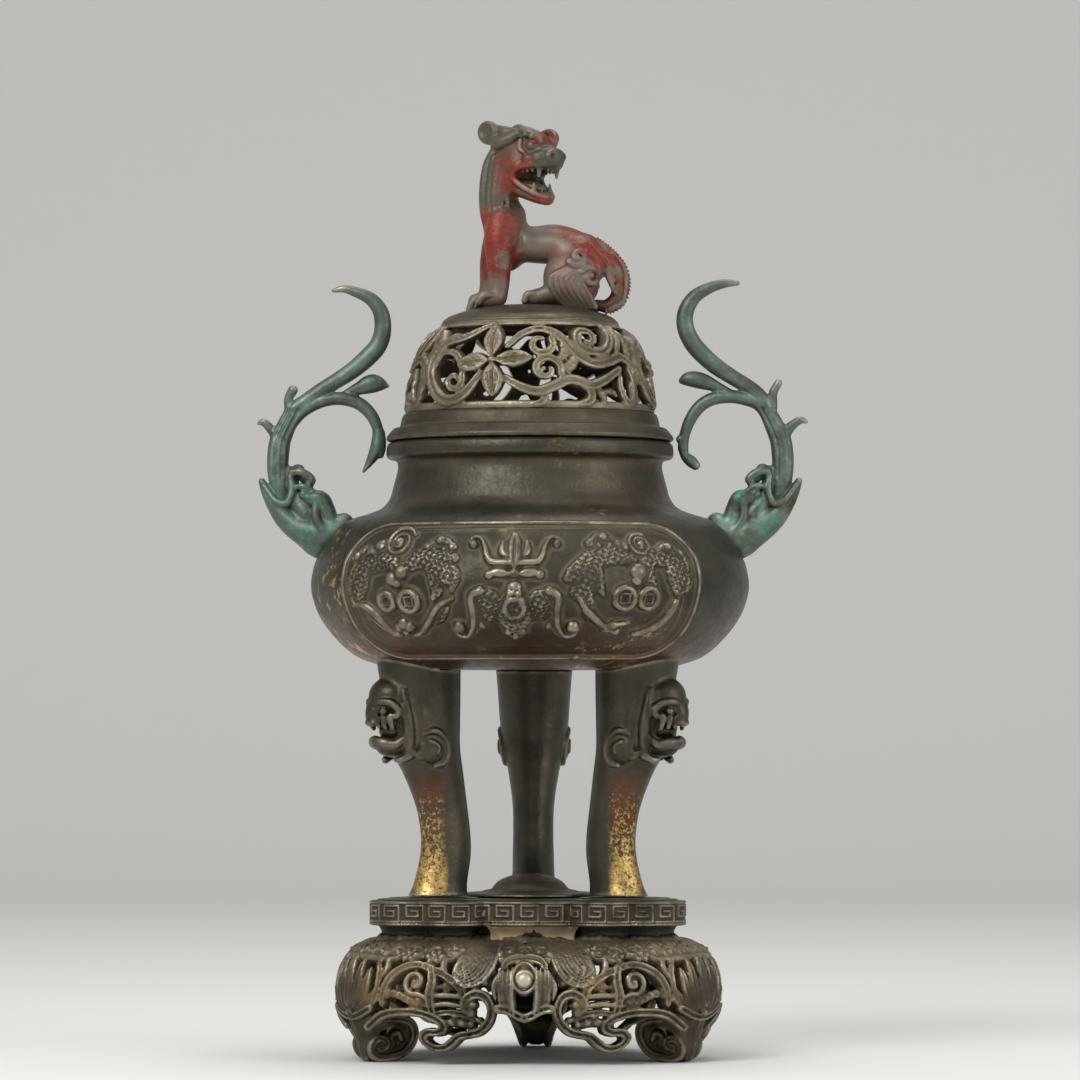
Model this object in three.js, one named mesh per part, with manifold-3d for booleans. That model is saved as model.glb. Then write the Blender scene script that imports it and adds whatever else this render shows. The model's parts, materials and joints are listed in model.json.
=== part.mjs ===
// Bronze tripod incense burner on an openwork trefoil stand, with a pierced lid and a lion finial.
// Millimetres, +Z up, origin on the ground under the middle of the stand, front of the piece along -Y.
import * as THREE from 'three'
import { mergeVertices } from 'three/addons/utils/BufferGeometryUtils.js'
import Module from 'manifold-3d'

const wasm = await Module()
wasm.setup()

// Fits between seated pieces
const SEAT_GAP = 0.3
const PIN_GAP = 0.3
const WALL = 2.4

// Stand
const LEG_AZIMUTHS = { left: 210, right: 330, rear: 90 }
const BRACKET_AZIMUTHS = { front: 270, right: 30, left: 150 }
const APRON_TOP = 26.6
const WAIST_HEIGHT = 2.9
const PLATE_THICKNESS = 5.7
const PLATE_CORE_RADIUS = 23.6
const LOBE_TIP_CENTRE = 28.8
const LOBE_TIP_RADIUS = 9.2
const LOBE_SIDE_CENTRE = 25.4
const LOBE_SIDE_RADIUS = 7.4
const LOBE_SIDE_ANGLE = 17.9
const LOBE_NECK_CENTRE = 20
const LOBE_NECK_RADIUS = 10
const WAIST_INSET = 2.7
const WAIST_WALL = 3
const APRON_REACH = 44.2
const APRON_MID_REACH = 34.8
const APRON_BULGE_HEIGHT = 13.5
const APRON_SHOULDER_RUN = 19
const APRON_TUCK = 6.6
const APRON_THICKNESS = 1.9
const FOOT_WIDTH = 16
const FOOT_NECK_WIDTH = 5.4
const BRACKET_WIDTH = 12.6
const BRACKET_DROP_LEVEL = 12.9
const PAD_RADIUS = 11.2
const PAD_HEIGHT = 0.4
const BOSS_RING_RADIUS = 15
const BOSS_DOME_RADIUS = 8.5
const BOSS_HEIGHT = 4.2

// Censer
const LEG_LENGTH = 50.2
const FOOT_CENTRE_RADIUS = 23.2
const BELLY_RADIUS = 49.3
const MOUTH_RADIUS = 32.2
const MOUTH_BORE = 27
const BOWL_HEIGHT = 51.4
const HANDLE_DEPTH = 4.2
const RIVET_RADIUS = 1.5

// Lid
const COLLAR_DEPTH = 5
const LEDGE_RADIUS = 30.7
const STEP_RADIUS = 29.2
const LID_RING_HEIGHT = 6.2
const LID_BORE = 24.6
const GALLERY_THICKNESS = 1.8
const CAP_RADIUS = 19.8
const CAP_WALL = 2
const LION_RIVET_REACH = 10.6

// Heights that follow from the sizes above, with both lifts down
const waistBase = APRON_TOP + SEAT_GAP
const plateBase = waistBase + WAIST_HEIGHT + SEAT_GAP
const plateTop = plateBase + PLATE_THICKNESS
const padTop = plateTop + PAD_HEIGHT
const legBase = padTop + SEAT_GAP
const bowlBase = legBase + LEG_LENGTH
const bowlTop = bowlBase + BOWL_HEIGHT
const lidBase = bowlTop + SEAT_GAP
const galleryBase = lidBase + LID_RING_HEIGHT + SEAT_GAP

// Length of one straight run along a bar of ornament, and what its faces may be thinned by
const ORNAMENT_STEP = 4.8
const FACET_TOLERANCE = 0.24
const ORNAMENT_TOLERANCE = 0.42
const LOBE_SIDES = 12
const ROUND_SIDES = 30

const radians = THREE.MathUtils.degToRad
const vec = (x, y, z) => new THREE.Vector3(x, y, z)

// Geometry into a solid and back

function solid(geometry) {
  const bare = geometry.clone()
  bare.deleteAttribute('normal')
  bare.deleteAttribute('uv')
  const merged = mergeVertices(bare, 1e-4)
  const mesh = new wasm.Mesh({
    numProp: 3,
    vertProperties: new Float32Array(merged.attributes.position.array),
    triVerts: new Uint32Array(merged.index.array)
  })
  return new wasm.Manifold(mesh)
}

function geometryOf(manifold) {
  const mesh = manifold.getMesh()
  const geometry = new THREE.BufferGeometry()
  geometry.setAttribute('position', new THREE.BufferAttribute(mesh.vertProperties, 3))
  geometry.setIndex(new THREE.BufferAttribute(mesh.triVerts, 1))
  return geometry.toNonIndexed()
}

function union(solids) {
  return solids.reduce((whole, next) => whole.add(next))
}

// A solid through rings of points, each ring closed by a fan at the two ends
function loft(rings) {
  const count = rings[0].length
  const points = rings.flat()
  const triangles = []
  for (let row = 0; row < rings.length - 1; row++) {
    for (let i = 0; i < count; i++) {
      const a = row * count + i
      const b = row * count + ((i + 1) % count)
      triangles.push(a, b, b + count, a, b + count, a + count)
    }
  }
  for (const [first, flip] of [[0, true], [(rings.length - 1) * count, false]]) {
    const centre = points.length
    const ring = points.slice(first, first + count)
    points.push(ring.reduce((sum, p) => sum.add(p), vec(0, 0, 0)).divideScalar(count))
    for (let i = 0; i < count; i++) {
      const pair = [first + i, first + ((i + 1) % count)]
      triangles.push(...(flip ? pair.reverse() : pair), centre)
    }
  }
  let volume = 0
  for (let i = 0; i < triangles.length; i += 3) {
    const [a, b, c] = [0, 1, 2].map((k) => points[triangles[i + k]])
    volume += a.dot(b.clone().cross(c))
  }
  if (volume < 0) triangles.reverse()
  const geometry = new THREE.BufferGeometry().setFromPoints(points)
  geometry.setIndex(triangles)
  return solid(geometry)
}

function ellipseRing(centre, across, up, halfAcross, halfUp, sides) {
  const ring = []
  for (let i = 0; i < sides; i++) {
    const angle = (i / sides) * Math.PI * 2
    const point = centre.clone().addScaledVector(across, halfAcross * Math.cos(angle))
    ring.push(point.addScaledVector(up, halfUp * Math.sin(angle)))
  }
  return ring
}

// A limb in the upright plane through the axis: stations are [x, z, half width, half depth]
function limb(stations, steps, sides, y = 0) {
  const path = new THREE.CatmullRomCurve3(stations.map(([x, z]) => vec(x, y, z)))
  const size = new THREE.CatmullRomCurve3(stations.map(([, , w, d]) => vec(w, d, 0)))
  const rings = []
  for (let i = 0; i <= steps; i++) {
    const t = i / steps
    const tangent = path.getTangent(t)
    const across = vec(tangent.z, 0, -tangent.x).normalize()
    const { x: halfWidth, y: halfDepth } = size.getPoint(t)
    rings.push(ellipseRing(path.getPoint(t), across, vec(0, 1, 0), halfWidth, halfDepth, sides))
  }
  return loft(rings)
}

function blob(x, y, z, rx, ry, rz, turn = 0, detail = 8) {
  const geometry = new THREE.SphereGeometry(1, detail, Math.round(detail * 0.7))
  geometry.scale(rx, ry, rz)
  geometry.rotateY(radians(turn))
  geometry.translate(x, y, z)
  return solid(geometry)
}

function lathe(profile, segments) {
  const outline = profile.map(([r, z]) => new THREE.Vector2(r, z))
  const closed = profile[0][0] > 0 || profile[profile.length - 1][0] > 0
  if (closed) outline.push(outline[0].clone())
  const geometry = new THREE.LatheGeometry(outline, segments)
  geometry.rotateX(Math.PI / 2)
  const made = solid(geometry)
  return made.volume() < 0 ? solid(flipped(geometry)) : made
}

function flipped(geometry) {
  const copy = geometry.clone()
  const index = Array.from(copy.index.array)
  index.reverse()
  copy.setIndex(index)
  return copy
}

function rod(from, to, radius, sides = 8) {
  const length = from.distanceTo(to)
  const geometry = new THREE.CylinderGeometry(radius, radius, length, sides)
  const direction = to.clone().sub(from).normalize()
  geometry.applyQuaternion(new THREE.Quaternion().setFromUnitVectors(vec(0, 1, 0), direction))
  const middle = from.clone().add(to).multiplyScalar(0.5)
  geometry.translate(middle.x, middle.y, middle.z)
  return solid(geometry)
}

// A ridged bar of ornament laid along a curve on a curved surface, tapering towards its ends
function stroke(surface, points, width, thickness, taper = 0.55, run = ORNAMENT_STEP) {
  const curve = new THREE.CatmullRomCurve3(points.map(([u, v]) => vec(u, v, 0)))
  const steps = Math.max(2, Math.round(curve.getLength() / run))
  const at = (t) => {
    const p = curve.getPoint(THREE.MathUtils.clamp(t, 0, 1))
    return surface(p.x, p.y)
  }
  const rings = []
  for (let i = 0; i <= steps; i++) {
    const t = i / steps
    const { x: u, y: v } = curve.getPoint(t)
    const centre = surface(u, v)
    const tangent = at(t + 0.004).sub(at(t - 0.004)).normalize()
    const alongU = surface(u + 0.05, v).sub(surface(u - 0.05, v))
    const alongV = surface(u, v + 0.05).sub(surface(u, v - 0.05))
    const normal = alongU.cross(alongV).normalize()
    const side = normal.clone().cross(tangent).normalize()
    const half = (width / 2) * (taper + (1 - taper) * Math.sin(Math.PI * t) ** 0.6)
    const corner = (s, n) => centre.clone().addScaledVector(side, s * half)
      .addScaledVector(normal, n * thickness / 2)
    rings.push([corner(0, 1), corner(-1, -1), corner(1, -1)])
  }
  return loft(rings)
}

// A spiral from its outer end inwards, in degrees; a negative sweep turns clockwise
function curl(u, v, outer, inner, start, sweep, count = 9) {
  return Array.from({ length: count }, (_, i) => {
    const t = i / (count - 1)
    const radius = outer + (inner - outer) * t
    const angle = radians(start + sweep * t)
    return [u + radius * Math.cos(angle), v + radius * Math.sin(angle)]
  })
}

// A flat flower with four petals, up, down and to the sides, on a curved surface
function flower(surface, u, v, reach, waist, thickness) {
  const level = (offset) => Array.from({ length: 16 }, (_, i) => {
    const angle = (i / 16) * Math.PI * 2
    const radius = waist + (reach - waist) * Math.abs(Math.cos(2 * angle)) ** 1.6
    const point = surface(u + radius * Math.cos(angle), v + radius * Math.sin(angle))
    const outward = vec(point.x, point.y, Math.hypot(point.x, point.y) * 0.4).normalize()
    return point.addScaledVector(outward, offset)
  })
  return loft([level(-thickness / 2), level(thickness / 2)])
}

// The named sub-parts, each with the photographed finish

const burner = new THREE.Group()
const finishes = {
  worn: { color: 0x6b5a3a, roughness: 0.55, metalness: 0.75 },
  dark: { color: 0x4a3524, roughness: 0.5, metalness: 0.8 },
  green: { color: 0x55604a, roughness: 0.6, metalness: 0.6 },
  red: { color: 0x7c3a2a, roughness: 0.65, metalness: 0.5 },
  brassy: { color: 0xa58549, roughness: 0.45, metalness: 0.85 }
}

function place(name, manifold, finish, tolerance = FACET_TOLERANCE) {
  const geometry = geometryOf(manifold.simplify(tolerance))
  const mesh = new THREE.Mesh(geometry, new THREE.MeshStandardMaterial(finishes[finish]))
  mesh.name = name
  burner.add(mesh)
}

function aboutAxis(manifold, azimuth) {
  return manifold.rotate([0, 0, azimuth])
}

// Stand: trefoil outline shared by the plate and the waist under it

function trefoil(inset, height) {
  const disc = (radius, distance, azimuth) => {
    const geometry = new THREE.CylinderGeometry(radius - inset, radius - inset, height, LOBE_SIDES)
    geometry.rotateX(Math.PI / 2)
    const angle = radians(azimuth)
    geometry.translate(distance * Math.cos(angle), distance * Math.sin(angle), height / 2)
    return solid(geometry)
  }
  const discs = [disc(PLATE_CORE_RADIUS, 0, 0)]
  for (const azimuth of Object.values(LEG_AZIMUTHS)) {
    discs.push(disc(LOBE_NECK_RADIUS, LOBE_NECK_CENTRE, azimuth))
    discs.push(disc(LOBE_TIP_RADIUS, LOBE_TIP_CENTRE, azimuth))
    discs.push(disc(LOBE_SIDE_RADIUS, LOBE_SIDE_CENTRE, azimuth - LOBE_SIDE_ANGLE))
    discs.push(disc(LOBE_SIDE_RADIUS, LOBE_SIDE_CENTRE, azimuth + LOBE_SIDE_ANGLE))
  }
  return union(discs)
}

function standPlate() {
  const pads = Object.values(LEG_AZIMUTHS).map((azimuth) => {
    const pad = lathe([[0, 0], [PAD_RADIUS, 0], [PAD_RADIUS - 0.5, PAD_HEIGHT], [0, PAD_HEIGHT]], 20)
    return aboutAxis(pad.translate([FOOT_CENTRE_RADIUS, 0, plateTop - 0.01]), azimuth)
  })
  return union([trefoil(0, PLATE_THICKNESS).translate([0, 0, plateBase]), ...pads])
}

// Turned boss in the middle of the plate, fixed by its peg
function standBoss() {
  const base = plateTop + SEAT_GAP
  const ring = BOSS_RING_RADIUS - PAD_RADIUS / 2
  const profile = [[0, base - 3], [1.8, base - 3], [1.8, base], [ring, base], [ring, base + 0.9]]
  profile.push([BOSS_DOME_RADIUS, base + 1.5])
  for (const angle of [25, 55]) {
    const rise = (BOSS_HEIGHT - 1.5) * Math.sin(radians(angle))
    profile.push([BOSS_DOME_RADIUS * Math.cos(radians(angle)), base + 1.5 + rise])
  }
  profile.push([0, base + BOSS_HEIGHT])
  return lathe(profile, 18)
}

function standWaist() {
  const outer = trefoil(WAIST_INSET, WAIST_HEIGHT)
  const bore = PLATE_CORE_RADIUS - WAIST_INSET - WAIST_WALL
  return outer.subtract(rod(vec(0, 0, -1), vec(0, 0, WAIST_HEIGHT + 1), bore, 24)).translate([0, 0, waistBase])
}

// Apron: a bulging trefoil wall, u along it in mm from a foot, v up it from the ground and in over the shoulder

const APRON_DRAWN_RADIUS = 42.5
const apronSeam = APRON_DRAWN_RADIUS * radians(60)
const waistMidReach = PLATE_CORE_RADIUS - WAIST_INSET
const waistTipReach = LOBE_TIP_CENTRE + LOBE_TIP_RADIUS - WAIST_INSET

function apronSurface(u, v) {
  const angle = u / APRON_DRAWN_RADIUS
  const lobe = (0.5 + 0.5 * Math.cos(3 * angle)) ** 0.8
  const bulge = APRON_MID_REACH + (APRON_REACH - APRON_MID_REACH) * lobe - APRON_THICKNESS / 2
  const top = waistMidReach - 1 + (waistTipReach - waistMidReach) * lobe - APRON_THICKNESS / 2
  let radius = bulge - APRON_TUCK * Math.max(1 - v / APRON_BULGE_HEIGHT, 0) ** 1.5
  let height = v
  if (v > APRON_BULGE_HEIGHT) {
    const turn = Math.min((v - APRON_BULGE_HEIGHT) / APRON_SHOULDER_RUN, 1) * Math.PI / 2
    radius = top + (bulge - top) * Math.cos(turn) ** 0.8
    height = APRON_BULGE_HEIGHT + (APRON_TOP - APRON_BULGE_HEIGHT) * Math.sin(turn) ** 0.8
  }
  return vec(radius * Math.cos(angle), radius * Math.sin(angle), height)
}

function apronPanel() {
  const edge = apronSeam - BRACKET_WIDTH / 2 + 0.6
  const ends = apronSeam - SEAT_GAP
  const shoulder = APRON_BULGE_HEIGHT + APRON_SHOULDER_RUN - 4.4
  const railTop = shoulder - 1.4
  const bars = [
    stroke(apronSurface, [[-ends, shoulder], [-ends / 2, shoulder], [0, shoulder], [ends / 2, shoulder],
      [ends, shoulder]], 7.2, APRON_THICKNESS, 1, 6),
    stroke(apronSurface, [[0, 15.4], [0, 20], [0, railTop]], 7, APRON_THICKNESS + 0.35)
  ]
  for (const side of [-1, 1]) {
    const mirror = (points) => points.map(([u, v]) => [side * u, v])
    const bar = (points, width, extra) => {
      bars.push(stroke(apronSurface, mirror(points), width, APRON_THICKNESS + extra))
    }
    // Lower rail: over the foot, along the arch, down around the cloud drop and up beside the bracket
    bar([[0, 14.8], [4, 14.7], [8, 13.6], [14, 13.4], [19, 13.4], [23, 12]], 2.6, 0.2)
    bar([[20.8, 12.6], [20, 8], [21.4, 4.8], [25.6, 5.9], [30, 8], [34.9, 10.6], [edge - 1.6, 14]], 2.6, 0.2)
    bar([[21.4, 12.8], [28, 12.6], [36.4, 11.4]], 2.6, 0.45)
    // Upright at the outer edge, hidden behind the bracket
    bar([[edge - 1.2, 12.8], [edge - 1.2, 19], [edge - 1.2, railTop]], 2.6, 0.1)
    // Petals beside the palmette over the foot
    bar([[0.6, 15.8], [5, 18], [6.4, 22], [4, railTop]], 2.6, 0.15)
    bar([[5, 15.6], [9.4, 18], [11, 22], [9, railTop]], 2.4, 0.3)
    // Cloud scrolls between the rails
    bar([[12.2, 13.6], [13.4, 18], ...curl(18, 19.2, 4.2, 1.5, 175, -330)], 2, 0.5)
    bar([[22.6, 17], [26, 17.2], [30.4, 16.6], [edge - 1.2, 15]], 2, 0.35)
    // Acanthus leaf that sweeps down from the shoulder beside the bracket
    bar([[33.6, railTop], [33, 23.4], [30, 20.4], [26, 20]], 5.6, 0.3)
    bar([[25.6, railTop], [24.4, 22], [23.6, 16.6]], 2, 0.25)
  }
  const seams = [-60, 60].map((turn) => aboutAxis(bracketEnvelope(), turn))
  return union(bars).subtract(union(seams))
}

// Scroll foot: a bell seen from the front, a volute seen from the side
function standFoot() {
  const out = APRON_REACH
  const narrow = FOOT_NECK_WIDTH / 2
  const wide = FOOT_WIDTH / 2
  const volute = limb([[out - 1.9, 13.8, 1.2, narrow], [out - 3.4, 10.4, 2, narrow + 0.8],
    [out - 6.2, 9, 2.2, wide * 0.62], [out - 9, 7.2, 2.2, wide * 0.75], [out - 10.2, 4.6, 2, wide * 0.86],
    [out - 8.2, 1.6, 2.1, wide * 0.95], [out - 5, 1.5, 2.1, wide], [out - 3.4, 4, 1.5, wide - 0.6]], 9, 8)
  const web = blob(out - 6.6, 0, 5.8, 4, wide * 0.62, 3.6)
  const box = new THREE.BoxGeometry(40, 40, 40)
  box.translate(out, 0, -20)
  return volute.add(web).subtract(solid(box))
}

// Bracket over the seam between two apron panels: shield with ears, a pearl and a drop below
function bracketShield(grow, depth) {
  const half = BRACKET_WIDTH / 2 + grow
  const top = APRON_TOP - 1.8 + grow
  const drop = BRACKET_DROP_LEVEL
  const shield = new THREE.Shape()
  shield.moveTo(-half, top)
  shield.lineTo(half, top)
  shield.bezierCurveTo(half + 0.4, 22, half - 2.2, 20.6, half - 1.4, 17.4)
  shield.bezierCurveTo(half - 0.6, 15, 3.4 + grow, drop + 2.6, 2.1 + grow, drop + 1.2)
  shield.absarc(0, drop, 2.2 + grow, 0.4, Math.PI - 0.4, true)
  shield.bezierCurveTo(-3.4 - grow, drop + 2.6, -half + 0.6, 15, -half + 1.4, 17.4)
  shield.bezierCurveTo(-half + 2.2, 20.6, -half - 0.4, 22, -half, top)
  const geometry = new THREE.ExtrudeGeometry(shield, { depth, bevelEnabled: false, curveSegments: 3 })
  geometry.rotateX(Math.PI / 2)
  geometry.rotateZ(Math.PI / 2)
  return solid(geometry).translate([-depth / 2, 0, 0])
}

// Leans a piece drawn about the seam back against the apron there
function againstSeam(manifold) {
  const wall = []
  for (let v = 0; v < APRON_BULGE_HEIGHT + APRON_SHOULDER_RUN; v += 0.5) wall.push(apronSurface(apronSeam, v))
  return manifold.refineToLength(2.5).warp((p) => {
    const row = wall.findIndex((point) => point.z > p[2])
    const [below, above] = [wall[Math.max(row - 1, 0)], wall[Math.max(row, 0)]]
    const share = row > 0 ? (p[2] - below.z) / (above.z - below.z) : 0
    const reach = THREE.MathUtils.lerp(Math.hypot(below.x, below.y), Math.hypot(above.x, above.y), share)
    p[0] += reach + 0.6
  })
}

function standBracket() {
  const pearl = blob(1.6, 0, 18.5, 2.4, 2.5, 2.5)
  const brow = blob(1, 0, 22.4, 2, 4.6, 2)
  return againstSeam(union([bracketShield(0, 3), pearl, brow]))
}

function bracketEnvelope() {
  return againstSeam(bracketShield(SEAT_GAP, 12))
}

// Bowl: heights measured down from the mouth rim, all radii from the axis

const floorTop = bowlBase + WALL + 0.6

const bowlOutside = (grow) => {
  const belly = BELLY_RADIUS + grow
  const rows = [[0.596, 0.6], [0.803, 2.6], [0.9, 7.6], [0.968, 12.6], [1, 18], [0.968, 25.6], [0.9, 30.9],
    [0.84, 33.2], [0.69, 35.2], [0.63, 38.5], [0.599, 42.9]]
  return rows.map(([share, height]) => [belly * share, bowlBase + height + (height < 1 ? -grow : 0)])
}

function bowlShell() {
  const neck = bowlOutside(0).at(-1)[0]
  const outside = [...bowlOutside(0), [neck, bowlTop - 5], [neck + 0.3, bowlTop - 3.8],
    [MOUTH_RADIUS, bowlTop - 3.2], [MOUTH_RADIUS, bowlTop - 0.6], [MOUTH_RADIUS - 0.6, bowlTop]]
  const inside = [[MOUTH_BORE, bowlTop], [MOUTH_BORE, bowlTop - 14]]
  for (const [radius, height] of bowlOutside(0).slice(1, 7).reverse()) {
    inside.push([radius - WALL, height + (radius < BELLY_RADIUS * 0.85 ? WALL * 0.7 : 0)])
  }
  const floorRadius = BELLY_RADIUS * 0.62
  const shell = lathe([[0, bowlBase], ...outside, ...inside, [floorRadius, floorTop], [0, floorTop]], ROUND_SIDES)
  return shell.subtract(union(rivetHoles()))
}

function bowlEnvelope() {
  const outside = bowlOutside(SEAT_GAP)
  return lathe([[0, outside[0][1]], ...outside, [0, outside.at(-1)[1]]], ROUND_SIDES)
}

// Rivets: one down through the bowl floor into each leg, one out through the shoulder into each handle

const legRivetRadius = FOOT_CENTRE_RADIUS + 3
const handleRivetAxis = vec(0.85, 0, 0.53)
const handleRivetPoint = vec(BELLY_RADIUS * 0.934, 0, bowlBase + 28.2)

function legRivet(extra) {
  const head = floorTop + SEAT_GAP
  const pin = rod(vec(legRivetRadius, 0, bowlBase - 9 - extra), vec(legRivetRadius, 0, head + 0.5),
    RIVET_RADIUS + extra)
  return extra ? pin : pin.add(rod(vec(legRivetRadius, 0, head), vec(legRivetRadius, 0, head + 1.4), 3))
}

function handleRivet(extra) {
  const along = (distance) => handleRivetPoint.clone().addScaledVector(handleRivetAxis, distance)
  const head = -WALL - 1.2 - SEAT_GAP
  const pin = rod(along(head - 0.5), along(3.2 + extra), RIVET_RADIUS + extra)
  return extra ? pin : pin.add(rod(along(head - 1.2), along(head), 2.8))
}

function rivetHoles() {
  const legs = Object.values(LEG_AZIMUTHS).map((azimuth) => aboutAxis(legRivet(PIN_GAP), azimuth))
  return [...legs, handleRivet(PIN_GAP), aboutAxis(handleRivet(PIN_GAP), 180)]
}

// Leg: elephant-like column with a beast mask at its knee, cut to the bowl it carries
function leg() {
  const column = [[0, 0, 6.8, 5.2], [-0.7, 0.07, 6, 4.6], [-0.7, 0.23, 6.1, 4.5], [-0.3, 0.386, 6.3, 4.7],
    [1.6, 0.53, 7.2, 5.8], [4.6, 0.705, 8.9, 7.6], [4.8, 0.986, 9.4, 8.8], [5, 1.115, 10, 10]]
  const path = new THREE.CatmullRomCurve3(column.map(([out, share]) =>
    vec(FOOT_CENTRE_RADIUS + out, 0, legBase + LEG_LENGTH * share)))
  const sizes = new THREE.CatmullRomCurve3(column.map(([, , a, b]) => vec(a, b, 0)))
  const rings = []
  const steps = 10
  for (let i = 0; i <= steps; i++) {
    const { x: outward, y: sideways } = sizes.getPoint(i / steps)
    rings.push(ellipseRing(path.getPoint(i / steps), vec(1, 0, 0), vec(0, 1, 0), outward, sideways, 12))
  }
  for (const p of rings[0]) p.z = legBase
  const knee = legBase + LEG_LENGTH * 0.797
  const out = FOOT_CENTRE_RADIUS + 13
  const brow = blob(out - 0.6, 0, knee + 5, 4, 7, 3, 0, 7)
  const snout = blob(out, 0, knee - 3.4, 4, 3.4, 3.2, 0, 7)
  const tusk = limb([[out - 2.2, knee - 4.5, 1.6, 1.6], [out + 1, knee - 8, 1.5, 1.5], [out + 0.8, knee - 11, 1.2, 1.2],
    [out - 1.4, knee - 12.6, 0.8, 0.8]], 5, 6)
  const tusks = [tusk.rotate([0, 0, 9]), tusk.rotate([0, 0, -9])]
  const whole = union([loft(rings), brow, snout, ...tusks])
  return whole.subtract(bowlEnvelope()).subtract(legRivet(PIN_GAP))
}

// Handle: a dragon bent into an S that rises from the shoulder and curls outward above the rim,
// drawn with x from the belly's edge and z from the underside of the bowl
function handle() {
  const half = HANDLE_DEPTH / 2
  const body = limb([[-5.7, 30.6, 3.4, 2.8], [-2.1, 33.4, 3.3, half], [3.5, 36.8, 2.3, half], [8.1, 41.6, 1.9, half],
    [8.3, 49.4, 1.7, half], [6.5, 54.8, 1.7, 1.9], [2.1, 59.4, 1.7, 1.8], [-4.7, 64.8, 1.8, 1.8],
    [-11.1, 70.4, 1.7, 1.7], [-14.8, 75.8, 1.6, 1.6], [-14.9, 80.4, 1.4, 1.5], [-12.9, 83.8, 1.1, 1.3],
    [-9.2, 85.8, 0.8, 1], [-5.3, 86, 0.45, 0.6]], 16, 6)
  const branch = limb([[6.7, 54, 1.4, 1.5], [0.9, 59.4, 1.5, 1.6], [-4.7, 60.2, 1.5, 1.6], [-9.7, 58.6, 1.5, 1.6],
    [-13.1, 55.4, 1.4, 1.5], [-14.7, 51.4, 1.2, 1.4], [-13.7, 47.6, 1.1, 1.3], [-11.9, 45.6, 1.2, 1.2]], 10, 6)
  const leaf = limb([[-6.9, 64.6, 1.6, 1.4], [-11.3, 65, 1.7, 1.2], [-14.5, 66.4, 0.9, 0.8],
    [-15.9, 68.4, 0.3, 0.4]], 4, 6)
  const head = blob(0.3, 0, 42.6, 3.6, 2.6, 2.6, -20)
  const eyes = [blob(3.1, 0, 44.4, 1.7, 2.5, 1.7, 0, 6), blob(1.7, 0, 40, 1.9, 2.5, 1.9, 0, 6)]
  const foot = limb([[-6.9, 32.8, 2.6, 3.4], [-2.9, 30, 4.4, 3.4], [1.5, 26.8, 2, 2.4]], 5, 8)
  const spur = (x, z, dx, dz) => limb([[x, z, 1.5, 1.3], [x + dx / 2, z + dz / 2, 1, 1],
    [x + dx, z + dz, 0.3, 0.3]], 2, 5)
  const spurs = [spur(1.1, 61, 3, 4.4), spur(7.3, 52.6, 4, 1.6), spur(8.1, 42.6, 3.4, -2.4)]
  const whole = union([body, branch, leaf, head, ...eyes, foot, ...spurs]).translate([BELLY_RADIUS, 0, bowlBase])
  return whole.subtract(bowlEnvelope()).subtract(handleRivet(PIN_GAP))
}

// Lid: stepped ring with a collar that drops into the mouth
function lidRing() {
  const collar = MOUTH_BORE - SEAT_GAP
  const top = lidBase + LID_RING_HEIGHT
  const flange = MOUTH_RADIUS + 0.2
  return lathe([[LID_BORE, lidBase - COLLAR_DEPTH], [collar - 0.6, lidBase - COLLAR_DEPTH],
    [collar, lidBase - COLLAR_DEPTH + 1], [collar, lidBase], [flange, lidBase], [flange, lidBase + 0.6],
    [LEDGE_RADIUS, lidBase + 2.8], [STEP_RADIUS, lidBase + 3], [STEP_RADIUS - 0.9, top - 0.2],
    [STEP_RADIUS - 1.2, top], [LID_BORE, top]], ROUND_SIDES)
}

// Gallery: a dome pierced with vine scrolls, u along it in mm from a flower, v up its curve

const GALLERY_ROWS = [[28.1, 0], [27.6, 4], [26.8, 7.8], [25.9, 10.6], [24.4, 14.1], [22.3, 16.9], [19.9, 19]]
const galleryCurve = new THREE.CatmullRomCurve3(GALLERY_ROWS.map(([r, z]) => vec(r, 0, z)))
const galleryRise = galleryCurve.getLength()
const galleryMeanRadius = 26

function gallerySurface(u, v) {
  const t = THREE.MathUtils.clamp(v / galleryRise, 0, 1)
  const { x: radius, z: height } = galleryCurve.getPointAt(t)
  const angle = u / galleryMeanRadius
  const inner = radius - GALLERY_THICKNESS / 2
  return vec(inner * Math.cos(angle), inner * Math.sin(angle), galleryBase + 0.2 + height)
}

function galleryBand(from, to, extra) {
  const rows = [from, to].map((v) => gallerySurface(0, v))
  const half = (GALLERY_THICKNESS + extra) / 2
  return lathe([...rows.map((p) => [p.x + half, p.z]), ...rows.reverse().map((p) => [p.x - half, p.z])], ROUND_SIDES)
}

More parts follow.
